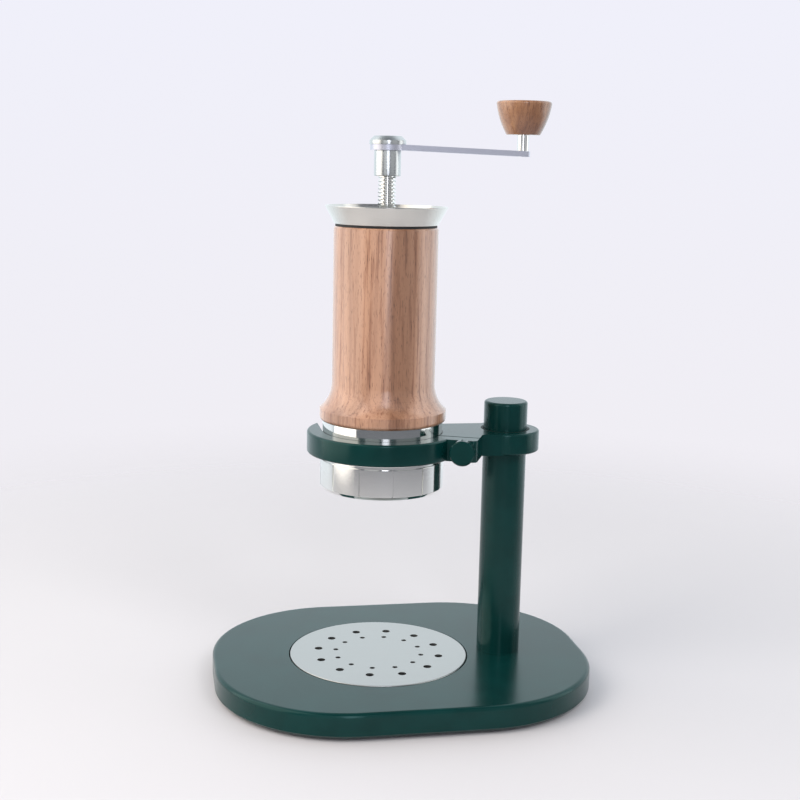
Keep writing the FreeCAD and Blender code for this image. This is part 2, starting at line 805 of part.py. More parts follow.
def clamp_stud():
    """Steel stud of the clamp screw, through the jaw into the arm."""
    start = "slit_offset - screw_depth + stud_end_gap"
    end = "slit_offset + jaw_thickness + clearance + knurl_height - knurl_cover"
    item = slit_cylinder("clamp_stud", "screw_thread - 2 * thread_clearance", start, end)
    item.Label = "clamp_stud"
    return item


def clamp_knob():
    """Scalloped round head of the clamp screw."""
    body = new_body("clamp_knob")
    disc = new_sketch(body, "clamp_knob_outline")
    draw_circle(disc, "knurl_diameter")
    pad(body, disc, "knurl_height", "clamp_knob_disc")
    rims = (number("knurl_height"), 0.0)
    soften(body, "Chamfer", "knurl_bevel", "clamp_knob_rims", lambda edge, middle: (
        any(at_height(rim)(edge, middle) for rim in rims)))
    scallop = new_sketch(body, "scallop_outline")
    draw_circle(scallop, "knurl_scallop", "knurl_diameter / 2 + knurl_scallop / 2 - knurl_scallop_depth")
    cut = pocket(body, scallop, "knurl_scallop_length", "scallop_cut")
    around(body, cut, "knurl_scallops", "scallops")
    stud = new_sketch(body, "stud_hole_outline")
    draw_circle(stud, "screw_thread - 2 * thread_clearance")
    pocket(body, stud, "knurl_height - knurl_cover", "stud_hole")
    start = "slit_offset + jaw_thickness + clearance"
    x = f"{BREWER} + {SCREW_REACH} * cos(slit_angle * 1deg) - ({start}) * sin(slit_angle * 1deg)"
    y = f"-{SCREW_REACH} * sin(slit_angle * 1deg) - ({start}) * cos(slit_angle * 1deg)"
    place(body, x, y, "holder_level + holder_height / 2")
    body.Placement.Rotation = FreeCAD.Rotation(FreeCAD.Vector(0, 0, 1), slit_forward())
    return body


# Brewer body
def body_collar():
    """Turned body that the ring holds; its spigot takes the portafilter and its floor is the shower plate."""
    bore, seat = "chamber_bore / 2", f"{CHAMBER_OUTER} / 2 + tube_fit"
    floor, roof = "shower_level", "shower_level + shower_plate"
    seal_top = "seal_groove_level"
    groove_low, groove_high = "tube_seal_level", "tube_seal_level + tube_seal_section + 2 * seal_side_gap"
    groove_floor = f"{CHAMBER_OUTER} / 2 + tube_seal_section"
    boss_level = "screen_level + screen_thickness"
    thread_end = f"{boss_level} + screen_screw_depth"
    recess = "screen_diameter / 2 + clearance"
    levels = [
        (recess, "spigot_level"), ("seal_bore / 2", "spigot_level"),
        ("seal_bore / 2", seal_top), ("seal_outer / 2", seal_top), ("seal_outer / 2", "spigot_level"),
        ("spigot_diameter / 2", "spigot_level"), ("spigot_diameter / 2", "holder_level"),
        ("body_diameter / 2", "holder_level"), ("body_diameter / 2", "body_top"),
        (seat, "body_top"), (seat, groove_high), (groove_floor, groove_high), (groove_floor, groove_low),
        (seat, groove_low), (seat, "chamber_seat"), (bore, "chamber_seat"), (bore, roof), ("0", roof),
        ("0", thread_end), ("screen_screw / 2", thread_end), ("screen_screw / 2", boss_level),
        ("screen_boss / 2", boss_level), ("screen_boss / 2", floor), (recess, floor)]
    corners = [(radius, f"{level} - spigot_level") for radius, level in levels]
    body = turned("body_collar", corners, BREWER, "spigot_level")
    hole = new_sketch(body, "shower_hole_outline", lift="shower_level - spigot_level")
    draw_circle(hole, "shower_hole", "shower_circle / 2")
    cut = pocket(body, hole, "shower_plate", "shower_hole_cut")
    around(body, cut, "shower_holes", "shower_hole_ring")
    return body


def chamber_tube():
    """Stainless tube in which the piston runs."""
    inner, outer = "chamber_bore / 2", f"{CHAMBER_OUTER} / 2"
    height = f"{FUNNEL_LEVEL} + thread_reach - chamber_seat"
    corners = [(inner, "0"), (outer, "0"), (outer, height), (inner, height)]
    return turned("chamber_tube", corners, BREWER, "chamber_seat")


def tube_seal():
    """Round-section seal between the tube and the body."""
    radius = f"{CHAMBER_OUTER} / 2 + tube_seal_section / 2"
    level = "tube_seal_level + seal_side_gap + tube_seal_section / 2"
    return seal_ring("tube_seal", radius, "tube_seal_section", level)


def seal_ring(name, radius, section, level):
    """A torus about the brewer's axis."""
    item = doc.addObject("Part::Torus", name)
    item.setExpression("Radius1", bound(radius))
    item.setExpression("Radius2", bound(f"{section} / 2"))
    item.Label = name
    return place(item, BREWER, z=level)


def wood_sleeve():
    """Walnut sleeve with a flared foot and a cove above it."""
    bore, barrel, flare = "sleeve_bore / 2", "sleeve_diameter / 2", "flare_diameter / 2"
    crease, cove_top = "flare_level - body_top", "flare_level - body_top + flare_height"
    step = "(flare_diameter - sleeve_diameter)"
    cove = f"-(({step} / 2)^2 + flare_height^2) / {step}"
    top = "sleeve_top - body_top"
    corners = [
        (bore, "0"), (f"{flare} - flare_foot", "0", "flare_foot"), (flare, "flare_foot"),
        (flare, crease, cove), (barrel, cove_top), (barrel, f"{top} - sleeve_chamfer"),
        (f"{barrel} - sleeve_chamfer", top), (bore, top)]
    return turned("wood_sleeve", corners, BREWER, "body_top")


def funnel_gasket():
    """Dark ring between the sleeve and the funnel."""
    inner, outer = "sleeve_bore / 2", "sleeve_diameter / 2 - sleeve_chamfer"
    corners = [(inner, "0"), (outer, "0"), (outer, "gasket_height"), (inner, "gasket_height")]
    return turned("funnel_gasket", corners, BREWER, "sleeve_top")


def funnel():
    """Filling funnel, screwed on the top of the chamber tube."""
    bore = f"{CHAMBER_OUTER} / 2 + tube_fit"
    slope = "(funnel_mouth - funnel_foot) / 2 / funnel_height"
    inner_step = f"funnel_foot / 2 + {slope} * funnel_step - funnel_wall"
    corners = [
        (bore, "0"), ("funnel_foot / 2", "0"), ("funnel_mouth / 2", "funnel_height - funnel_edge"),
        ("funnel_mouth / 2 - funnel_edge", "funnel_height"),
        ("funnel_mouth / 2 - funnel_wall", "funnel_height"), (inner_step, "funnel_step"),
        (bore, "funnel_step")]
    return turned("funnel", corners, BREWER, FUNNEL_LEVEL)


def spindle_bridge():
    """Spider that hangs in the top of the tube and carries the nut, with water ways between its arms."""
    body = new_body("spindle_bridge")
    boss_height = "nut_height - nut_flange_height"
    boss = new_sketch(body, "bridge_boss_outline")
    draw_circle(boss, "bridge_boss")
    pad(body, boss, boss_height, "bridge_boss_pad")
    arm = new_sketch(body, "bridge_arm_outline")
    inner, outer = "(nut_body + bridge_boss) / 4", "chamber_bore / 2 - bridge_fit - bridge_ring / 2"
    half = "bridge_arm_width / 2"
    draw_outline(arm, [(inner, f"-{half}"), (outer, f"-{half}"), (outer, half), (inner, half)])
    one = pad(body, arm, "bridge_arm_height", "bridge_arm_pad")
    around(body, one, "bridge_arms", "bridge_arm_ring")
    ring = new_sketch(body, "bridge_ring_profile", "XZ_Plane")
    wall_outer = "chamber_bore / 2 - bridge_fit"
    wall_inner = f"{wall_outer} - bridge_ring"
    seat = f"{FUNNEL_LEVEL} + thread_reach - nut_level - nut_flange_height"
    lip = f"{CHAMBER_OUTER} / 2 - clearance"
    draw_outline(ring, [
        (wall_inner, "0"), (wall_outer, "0"), (wall_outer, seat), (lip, seat),
        (lip, f"{seat} + bridge_lip"), (wall_inner, f"{seat} + bridge_lip")])
    turning = body.newObject("PartDesign::Revolution", "bridge_ring_turning")
    turning.Profile = ring
    turning.ReferenceAxis = (ring, ["V_Axis"])
    turning.Angle = 360
    ring.Visibility = False
    doc.recompute()
    bore = new_sketch(body, "bridge_bore_outline")
    draw_circle(bore, "nut_body")
    pocket(body, bore, boss_height, "bridge_bore")
    return place(body, BREWER, z="nut_level + nut_flange_height")


def spindle_nut():
    """Bronze nut, pushed up against the bridge by its flange; its thread is drawn as a plain bore."""
    bore = "thread_diameter / 2 + thread_clearance"
    corners = [
        (bore, "0"), ("nut_flange / 2", "0"), ("nut_flange / 2", "nut_flange_height"),
        ("nut_body / 2", "nut_flange_height"), ("nut_body / 2", "nut_height"), (bore, "nut_height")]
    return turned("spindle_nut", corners, BREWER, "nut_level")


def dispersion_screen():
    """Perforated disc under the shower plate."""
    corners = [
        ("screen_screw / 2", "0"), ("screen_diameter / 2", "0"),
        ("screen_diameter / 2", "screen_thickness"), ("screen_screw / 2", "screen_thickness")]
    body = turned("dispersion_screen", corners, BREWER, "screen_level")
    perforate(body, "screen", "screen_thickness")
    return body


def perforate(body, name, thickness):
    """Punch rings of small holes through a disc that lies on the body's own base plane."""
    for ring in (1, 2, 3):
        hole = new_sketch(body, f"{name}_hole_outline_{ring}")
        draw_circle(hole, "basket_hole", f"{ring} * hole_step")
        cut = pocket(body, hole, thickness, f"{name}_hole_cut_{ring}")
        around(body, cut, f"basket_holes * {ring}", f"{name}_hole_ring_{ring}")


def screen_bolt():
    """Flat-headed screw that holds the screen."""
    head, shank, height = "screen_screw_top / 2", "screen_screw / 2", "screen_screw_head"
    length = "screen_screw_head + screen_thickness + screen_screw_depth - clearance"
    corners = [("0", "0"), (head, "0"), (head, height), (shank, height), (shank, length), ("0", length)]
    return turned("screen_bolt", corners, BREWER, "screen_level - screen_screw_head")


def group_gasket():
    """Rubber ring in the spigot's face, which seals on the basket's rim."""
    inner, outer = "seal_bore / 2", "seal_outer / 2"
    height = f"seal_groove_level - {SEAL_FACE} - clearance"
    corners = [(inner, "0"), (outer, "0"), (outer, height), (inner, height)]
    return turned("group_gasket", corners, BREWER, f"{SEAL_FACE} + clearance")


# Piston
def piston_head():
    """Piston with two seal grooves, a socket for the spindle's foot and ports for the water."""
    outer, groove = "chamber_bore / 2 - piston_clearance", "chamber_bore / 2 - ring_section - seal_gap"
    low, high = "seal_low", "seal_high"
    wide = "ring_section + 2 * seal_side_gap"
    floor = "piston_height - socket_depth"
    pilot = "valve_screw / 2"
    corners = [
        (pilot, "0"), (outer, "0"), (outer, low), (groove, low), (groove, f"{low} + {wide}"),
        (outer, f"{low} + {wide}"), (outer, high), (groove, high), (groove, f"{high} + {wide}"),
        (outer, f"{high} + {wide}"), (outer, "piston_height"), ("socket_diameter / 2", "piston_height"),
        ("socket_diameter / 2", floor), ("0", floor), ("0", f"{floor} - pilot_roof"),
        (pilot, f"{floor} - pilot_roof")]
    body = turned("piston_head", corners, BREWER, "piston_level")
    port = new_sketch(body, "piston_port_outline")
    draw_circle(port, "valve_port", "valve_circle / 2")
    cut = pocket(body, port, "piston_height", "piston_port_cut")
    around(body, cut, "valve_ports", "piston_port_ring")
    return body


def piston_seals():
    """Two round-section seals in the piston's grooves."""
    radius = "chamber_bore / 2 - seal_gap - ring_section / 2"
    rings = []
    for start in ("seal_low", "seal_high"):
        level = f"piston_level + {start} + seal_side_gap + ring_section / 2"
        rings.append(seal_ring(f"piston_{start}", radius, "ring_section", level))
    return group("piston_seals", rings)


def spindle_retainer():
    """Threaded ring that keeps the spindle's foot in the piston."""
    height = "socket_depth - thrust_height - 2 * axial_play"
    bore = "neck_diameter / 2 + clearance"
    corners = [
        (bore, "0"), ("socket_diameter / 2", "0"), ("socket_diameter / 2", height), (bore, height)]
    return turned("spindle_retainer", corners, BREWER, f"{PISTON_TOP} - ({height})")


def valve_ring():
    """Silicone ring lying on its bolt's head, which water from below lifts against the piston's ports."""
    inner, outer = "valve_shoulder / 2 + clearance", "valve_disc / 2"
    corners = [(inner, "0"), (outer, "0"), (outer, "valve_thickness"), (inner, "valve_thickness")]
    return turned("valve_ring", corners, BREWER, "piston_level - clearance - valve_lift - valve_thickness")


def valve_bolt():
    """Shoulder screw that keeps the valve ring."""
    drop = "valve_thickness + valve_lift + 2 * clearance"
    head_height = "valve_head_height"
    head, shoulder, shank = "valve_head / 2", "valve_shoulder / 2", "valve_screw / 2"
    top = f"{head_height} + {drop}"
    length = f"{top} + piston_height - socket_depth - pilot_roof - clearance"
    corners = [
        ("0", "0"), (head, "0"), (head, head_height), (shoulder, head_height), (shoulder, top),
        (shank, top), (shank, length), ("0", length)]
    return turned("valve_bolt", corners, BREWER, f"piston_level - ({top})")


# Spindle and crank
def spindle():
    """Two-start spindle with a thrust foot and a thick neck, whose end stops at the nut.

    The thread is drawn as rings of its pitch and depth.
    """
    core, neck = "thread_core / 2", "neck_diameter / 2"
    foot = f"{PISTON_TOP} - socket_depth + axial_play"
    top = f"{HUB_TOP} + arm_thickness + cap_grip"
    start = f"thread_bottom - ({foot})"
    corners = [
        ("0", "0"), ("thrust_flange / 2", "0"), ("thrust_flange / 2", "thrust_height"),
        (neck, "thrust_height"), (neck, start), (core, start), (core, f"{top} - ({foot})"),
        ("0", f"{top} - ({foot})")]
    body = turned("spindle", corners, BREWER, foot)
    ridge = new_sketch(body, "thread_ridge_profile", "XZ_Plane")
    inside, crest = f"{core} - ridge_root", "thread_diameter / 2"
    draw_outline(ridge, [
        (inside, start), (core, start), (crest, f"{start} + (ridge_foot - ridge_crest) / 2"),
        (crest, f"{start} + (ridge_foot + ridge_crest) / 2"), (core, f"{start} + ridge_foot"),
        (inside, f"{start} + ridge_foot")])
    turning = body.newObject("PartDesign::Revolution", "thread_ridge")
    turning.Profile = ridge
    turning.ReferenceAxis = (ridge, ["V_Axis"])
    turning.Angle = 360
    ridge.Visibility = False
    doc.recompute()
    ridges = "floor((hub_level - thread_bottom) / thread_pitch)"
    pattern = body.newObject("PartDesign::LinearPattern", "thread_ridges")
    pattern.Originals = [turning]
    pattern.Direction = (next(item for item in body.Origin.OriginFeatures if item.Role == "Z_Axis"), [""])
    pattern.setExpression("Occurrences", bound(ridges))
    pattern.setExpression("Length", bound(f"({ridges} - 1) * thread_pitch"))
    body.Tip = pattern
    doc.recompute()
    return body


def crank_hub():
    """Polished sleeve under the crank arm."""
    bore, outer = "thread_core / 2", "hub_diameter / 2"
    corners = [
        (bore, "0"), (f"{outer} - hub_bevel", "0"), (outer, "hub_bevel"), (outer, "hub_height"),
        (bore, "hub_height")]
    return turned("crank_hub", corners, BREWER, "hub_level")


def crank_arm():
    """Flat strip with a round eye, pressed down a little towards its tip."""
    side = new_body("arm_side")
    view = new_sketch(side, "arm_side_view", "XZ_Plane")
    back, bend = "-eye_diameter / 2", "eye_diameter / 2"
    draw_outline(view, [
        (back, "0"), (bend, "0"), (ARM_REACH, "-arm_droop"), (ARM_REACH, "arm_thickness - arm_droop"),
        (bend, "arm_thickness"), (back, "arm_thickness")])
    slab = side.newObject("PartDesign::Pad", "arm_slab")
    slab.Profile = view
    slab.Midplane = True
    slab.setExpression("Length", bound("eye_diameter + 2 * overcut"))
    view.Visibility = False

    plan = new_body("arm_plan")
    strip = new_sketch(plan, "arm_strip_outline", lift="-arm_droop")
    root, tip, turn = "arm_width / 2", "arm_tip / 2", "arm_tip_round"
    draw_outline(strip, [
        ("0", f"-{root}"), (f"{ARM_REACH} - {turn}", f"-{tip}", turn), (ARM_REACH, f"-{tip} + {turn}"),
        (ARM_REACH, f"{tip} - {turn}", turn), (f"{ARM_REACH} - {turn}", tip), ("0", root)])
    pad(plan, strip, "arm_thickness + arm_droop", "arm_strip")
    eye = new_sketch(plan, "arm_eye_outline", lift="-arm_droop")
    draw_circle(eye, "eye_diameter")
    pad(plan, eye, "arm_thickness + arm_droop", "arm_eye")
    for name, diameter, place_x in (("eye", "thread_core", "0"), ("axle", "knob_axle", "crank_radius")):
        hole = new_sketch(plan, f"arm_{name}_hole_outline", lift="-arm_droop")
        draw_circle(hole, diameter, place_x)
        pocket(plan, hole, "arm_thickness + arm_droop", f"arm_{name}_hole")
    for body in (side, plan):
        place(body, BREWER, z=HUB_TOP)
    item = doc.addObject("Part::Common", "crank_arm")
    item.Base = side
    item.Tool = plan
    item.Label = "crank_arm"
    return item


def cap_nut():
    """Chamfered cap that clamps the arm on the hub."""
    bore, outer = "thread_core / 2", "cap_diameter / 2"
    corners = [
        (bore, "0"), (outer, "0"), (outer, "cap_height - cap_chamfer"),
        (f"{outer} - cap_chamfer", "cap_height"), ("0", "cap_height"), ("0", "cap_grip"), (bore, "cap_grip")]
    return turned("cap_nut", corners, BREWER, f"{HUB_TOP} + arm_thickness")


def knob_axle():
    """Axle riveted in the arm, with the visible post under the knob."""
    journal, post = "knob_axle / 2", "knob_post / 2"
    level = f"{HUB_TOP} - {ARM_DROP}"
    seat = "arm_thickness + post_lift"
    top = f"{CLIP_LEVEL} - ({level})"
    rise = f"knob_level - clearance - ({level})"
    corners = [
        ("0", "0"), (journal, "0"), (journal, seat), (post, seat), (post, rise), (journal, rise),
        (journal, top), ("0", top)]
    return turned("knob_axle", corners, CRANK_END, level)


def knob_clip():
    """Disc fixed to the axle's end, which keeps the knob on."""
    edge, height = "clip_diameter / 2", "clip_thickness"
    corners = [("0", "0"), (edge, "0"), (edge, height), ("0", height)]
    return turned("knob_clip", corners, CRANK_END, CLIP_LEVEL)


def knob():
    """Walnut knob: an upturned cone with a slightly full side and a rounded top edge."""
    bore = "knob_axle / 2 + bush_fit + bush_wall"
    corners = [
        (bore, "0"), ("knob_foot / 2", "0", "knob_bulge"),
        ("knob_top / 2", "knob_height - knob_round", "knob_round"),
        ("knob_top / 2 - knob_round", "knob_height"), (CLIP_ROOM, "knob_height"), (CLIP_ROOM, KNOB_WELL),
        (bore, KNOB_WELL)]
    return turned("knob", corners, CRANK_END, "knob_level")


def knob_bush():
    """Bronze bush pressed in the knob."""
    inner, outer = "knob_axle / 2 + bush_fit", "knob_axle / 2 + bush_fit + bush_wall"
    corners = [(inner, "0"), (outer, "0"), (outer, KNOB_WELL), (inner, KNOB_WELL)]
    return turned("knob_bush", corners, CRANK_END, "knob_level")


def knob_plug():
    """Walnut plug that closes the well in the knob's top."""
    corners = [("0", "0"), (CLIP_ROOM, "0"), (CLIP_ROOM, "plug_depth"), ("0", "plug_depth")]
    return turned("knob_plug", corners, CRANK_END, "knob_level + knob_height - plug_depth")


# Portafilter
def portafilter_ring():
    """Polished bottomless portafilter with grip lines and a groove near its top."""
    outer, skirt = "portafilter_diameter / 2", "spigot_diameter / 2 + clearance"
    throat = "basket_bore / 2 + basket_wall + clearance"
    ledge = "ledge_level - portafilter_level"
    top = f"{PORTAFILTER_TOP} - portafilter_level"
    groove_top = f"{top} - groove_drop"
    corners = [
        (throat, "0"), (f"{outer} - portafilter_chamfer", "0"), (outer, "portafilter_chamfer"),
        (outer, f"{groove_top} - groove_width"), (f"{outer} - groove_depth", f"{groove_top} - groove_width"),
        (f"{outer} - groove_depth", groove_top), (outer, groove_top), (outer, f"{top} - portafilter_edge"),
        (f"{outer} - portafilter_edge", top), (skirt, top), (skirt, ledge), (throat, ledge)]
    body = turned("portafilter_ring", corners, BREWER, "portafilter_level")
    line = new_sketch(body, "grip_line_outline", lift="portafilter_chamfer")
    inner, beyond, half = f"{outer} - grip_depth", f"{outer} + overcut", "grip_width / 2"
    draw_outline(line, [(inner, f"-{half}"), (beyond, f"-{half}"), (beyond, half), (inner, half)])
    cut = pocket(body, line, f"{groove_top} - groove_width - portafilter_chamfer", "grip_line_cut")
    around(body, cut, "grip_lines", "grip_line_ring")
    return body


def filter_basket():
    """Pressed basket that hangs by its rim on the portafilter's ledge."""
    inner, outer = "basket_bore / 2", "basket_bore / 2 + basket_wall"
    rim_radius = "spigot_diameter / 2 - 2 * clearance"
    rim = "ledge_level + basket_gap - basket_floor"
    corners = [
        ("0", "0"), (outer, "0"), (outer, rim), (rim_radius, rim), (rim_radius, f"{rim} + basket_wall"),
        (inner, f"{rim} + basket_wall"), (inner, "basket_wall"), ("0", "basket_wall")]
    body = turned("filter_basket", corners, BREWER, "basket_floor")
    perforate(body, "basket", "basket_wall")
    return body


# Everything together
STAND = [base_plate, base_feet, column_tube, column_cap, column_foot_plug, column_bolt, column_washer]
TRAY = [drip_pan, drip_grille]
HOLDER = [collar_liner, holder_arm, collar_set_screw, ring_strap, strap_dowel, clamp_stud, clamp_knob]
BREWER_BODY = [
    body_collar, chamber_tube, tube_seal, wood_sleeve, funnel_gasket, funnel, spindle_bridge, spindle_nut,
    dispersion_screen, screen_bolt, group_gasket]
PISTON = [piston_head, piston_seals, spindle_retainer, valve_ring, valve_bolt]
CRANK = [spindle, crank_hub, crank_arm, cap_nut, knob_axle, knob_clip, knob, knob_bush, knob_plug]
OUTLET = [portafilter_ring, filter_basket]

parts = [make() for make in STAND + TRAY + HOLDER + BREWER_BODY + PISTON + CRANK + OUTLET]
doc.recompute()

for item in doc.Objects:
    if "Invalid" in item.State or "Error" in item.State:
        raise ValueError(f"{item.Label} is {item.State}")
for part in parts:
    if part.Shape.isNull() or not part.Shape.isValid():
        raise ValueError(f"{part.Label} has no valid shape")
    print(f"{part.Label}: {len(part.Shape.Solids)} solid, {part.Shape.Volume / 1000:.2f} cm3")

for part in parts:
    part.Shape.exportStep(f"parts/{part.Label}.step")
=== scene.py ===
"""Looks of the screw-driven espresso maker and its stand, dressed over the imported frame.

Sizes are in millimetres unless a name says otherwise, and MM turns them to metres. +X runs from the brewer's
axis to the column, -Y is the front, and the table is at zero height.
"""

import logging
import math
from dataclasses import dataclass
from enum import Enum

import bmesh
import bpy
from mathutils import Matrix, Vector


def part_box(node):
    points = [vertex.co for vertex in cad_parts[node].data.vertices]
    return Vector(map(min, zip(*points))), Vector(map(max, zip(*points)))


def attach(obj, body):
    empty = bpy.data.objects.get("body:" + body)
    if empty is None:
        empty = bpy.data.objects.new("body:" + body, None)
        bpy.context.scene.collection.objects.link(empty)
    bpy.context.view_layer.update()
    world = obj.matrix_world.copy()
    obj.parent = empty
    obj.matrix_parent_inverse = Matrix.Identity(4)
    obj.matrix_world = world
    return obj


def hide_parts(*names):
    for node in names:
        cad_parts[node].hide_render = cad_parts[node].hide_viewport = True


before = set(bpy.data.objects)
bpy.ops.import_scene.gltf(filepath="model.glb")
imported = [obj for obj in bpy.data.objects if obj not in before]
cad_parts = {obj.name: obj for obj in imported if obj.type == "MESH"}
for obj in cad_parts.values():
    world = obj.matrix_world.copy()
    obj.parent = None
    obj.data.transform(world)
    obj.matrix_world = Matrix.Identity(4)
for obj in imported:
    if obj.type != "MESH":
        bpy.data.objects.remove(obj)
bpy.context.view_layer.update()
MM = 0.001
LOG = logging.getLogger("espresso_maker")
Colour = tuple[float, float, float, float]
Outline = list[tuple[float, float]]
Stops = tuple[tuple[float, str], ...]


# Small tools
def linear(code: str) -> Colour:
    """Turn a colour into the linear values that a shader's socket takes.

    Args:
        code: an sRGB hex colour such as "#1f3a3a".

    Returns:
        Linear red, green and blue, and an alpha of one.
    """
    shares = [int(code[start:start + 2], 16) / 255 for start in (1, 3, 5)]
    red, green, blue = [s / 12.92 if s <= 0.04045 else ((s + 0.055) / 1.055) ** 2.4 for s in shares]
    return red, green, blue, 1.0


def add(tree: bpy.types.NodeTree, kind: str, settings: dict | None = None,
        links: dict | None = None) -> bpy.types.Node:
    """Add a node with its settings and links.

    Args:
        tree: the node tree to add to.
        kind: the node's type name.
        settings: values by property name, or by an input's name or number.
        links: output sockets by the name or number of the input they feed.

    Returns:
        The new node.
    """
    node = tree.nodes.new(kind)
    for name, value in (settings or {}).items():
        if isinstance(name, str) and hasattr(node, name):
            setattr(node, name, value)
        else:
            node.inputs[name].default_value = value
    for name, source in (links or {}).items():
        tree.links.new(source, node.inputs[name])
    return node


def ramp(tree: bpy.types.NodeTree, source: bpy.types.NodeSocket, stops: Stops) -> bpy.types.NodeSocket:
    """Turn a value into a colour along a row of stops.

    Args:
        tree: the node tree to add to.
        source: the value, from zero to one.
        stops: places and hex colours, from low to high.

    Returns:
        The colour's output socket.
    """
    node = add(tree, "ShaderNodeValToRGB", links={"Fac": source})
    elements = node.color_ramp.elements
    while len(elements) < len(stops):
        elements.new(0.5)
    for element, (place, code) in zip(elements, stops):
        element.position = place
        element.color = linear(code)
    return node.outputs["Color"]


def coordinates(tree: bpy.types.NodeTree, stretch: tuple[float, float, float]) -> bpy.types.NodeSocket:
    """Object coordinates divided by a feature's size along each axis.

    Args:
        tree: the node tree to add to.
        stretch: the feature's size in millimetres.

    Returns:
        The coordinates' output socket.
    """
    place = add(tree, "ShaderNodeTexCoord")
    scale = tuple(1 / (MM * size) for size in stretch)
    scaled = add(tree, "ShaderNodeMapping", {"Scale": scale}, {"Vector": place.outputs["Object"]})
    return scaled.outputs["Vector"]


def bump(tree: bpy.types.NodeTree, shader: bpy.types.Node, height: bpy.types.NodeSocket,
         depth: float) -> None:
    """Roughen a surface by a height map.

    Args:
        tree: the node tree to add to.
        shader: the surface's shader.
        height: the map, from zero to one.
        depth: the map's full range in millimetres.
    """
    node = add(tree, "ShaderNodeBump", {"Strength": 1.0, "Distance": depth * MM}, {"Height": height})
    tree.links.new(node.outputs["Normal"], shader.inputs["Normal"])


# Finishes
class Brushing(Enum):
    """How a steel surface was finished last, with the reach of one mark along each axis in millimetres."""
    MIRROR = (6.0, 6.0, 0.8)        # polished with compound: faint haze only
    TURNED = (60.0, 60.0, 0.25)     # brushed on the lathe, in rings about the axis
    STRAIGHT = (30.0, 0.25, 30.0)   # brushed along the sheet
    BLASTED = (0.2, 0.2, 0.2)       # blasted with glass beads


@dataclass(frozen=True)
class Finish:
    """What all finishes share: a material that is made once, when it is first asked for."""
    name: str

    def material(self) -> bpy.types.Material:
        """The finish as a Blender material.

        Returns:
            The material, which all pieces in this finish share.
        """
        known = bpy.data.materials.get(self.name)
        if known:
            return known
        made = bpy.data.materials.new(self.name)
        made.use_nodes = True
        self.dress(made.node_tree, made.node_tree.nodes["Principled BSDF"])
        return made

    def dress(self, tree: bpy.types.NodeTree, shader: bpy.types.Node) -> None:
        """Set the shader up; each finish has its own way.

        Args:
            tree: the material's node tree.
            shader: its principled shader.
        """
        raise NotImplementedError


@dataclass(frozen=True)
class PowderCoat(Finish):
    """Polyester powder baked on steel: satin deep green, with a fine orange peel that softens reflections.

    The sheen's tint keeps the highlights green where the surface is seen square on.
    """
    colour: str = "#022725"
    light: str = "#042f2d"
    cloud: float = 18.0
    peel: float = 0.9
    peel_depth: float = 0.004
    roughness: float = 0.22
    sheen: str = "#a8d4d0"

    def dress(self, tree: bpy.types.NodeTree, shader: bpy.types.Node) -> None:
        """Deep green with a faint cloudiness and the orange peel's bump.

        Args:
            tree: the material's node tree.
            shader: its principled shader.
        """
        cloud = add(tree, "ShaderNodeTexNoise", {"Scale": 1.0, "Detail": 2.0},
                    {"Vector": coordinates(tree, (self.cloud, self.cloud, self.cloud))})
        tree.links.new(ramp(tree, cloud.outputs["Fac"], ((0.3, self.colour), (0.7, self.light))),
                       shader.inputs["Base Color"])
        peel = add(tree, "ShaderNodeTexNoise", {"Scale": 1.0, "Detail": 1.0},
                   {"Vector": coordinates(tree, (self.peel, self.peel, self.peel))})
        bump(tree, shader, peel.outputs["Fac"], self.peel_depth)
        shader.inputs["Roughness"].default_value = self.roughness
        shader.inputs["Specular Tint"].default_value = linear(self.sheen)


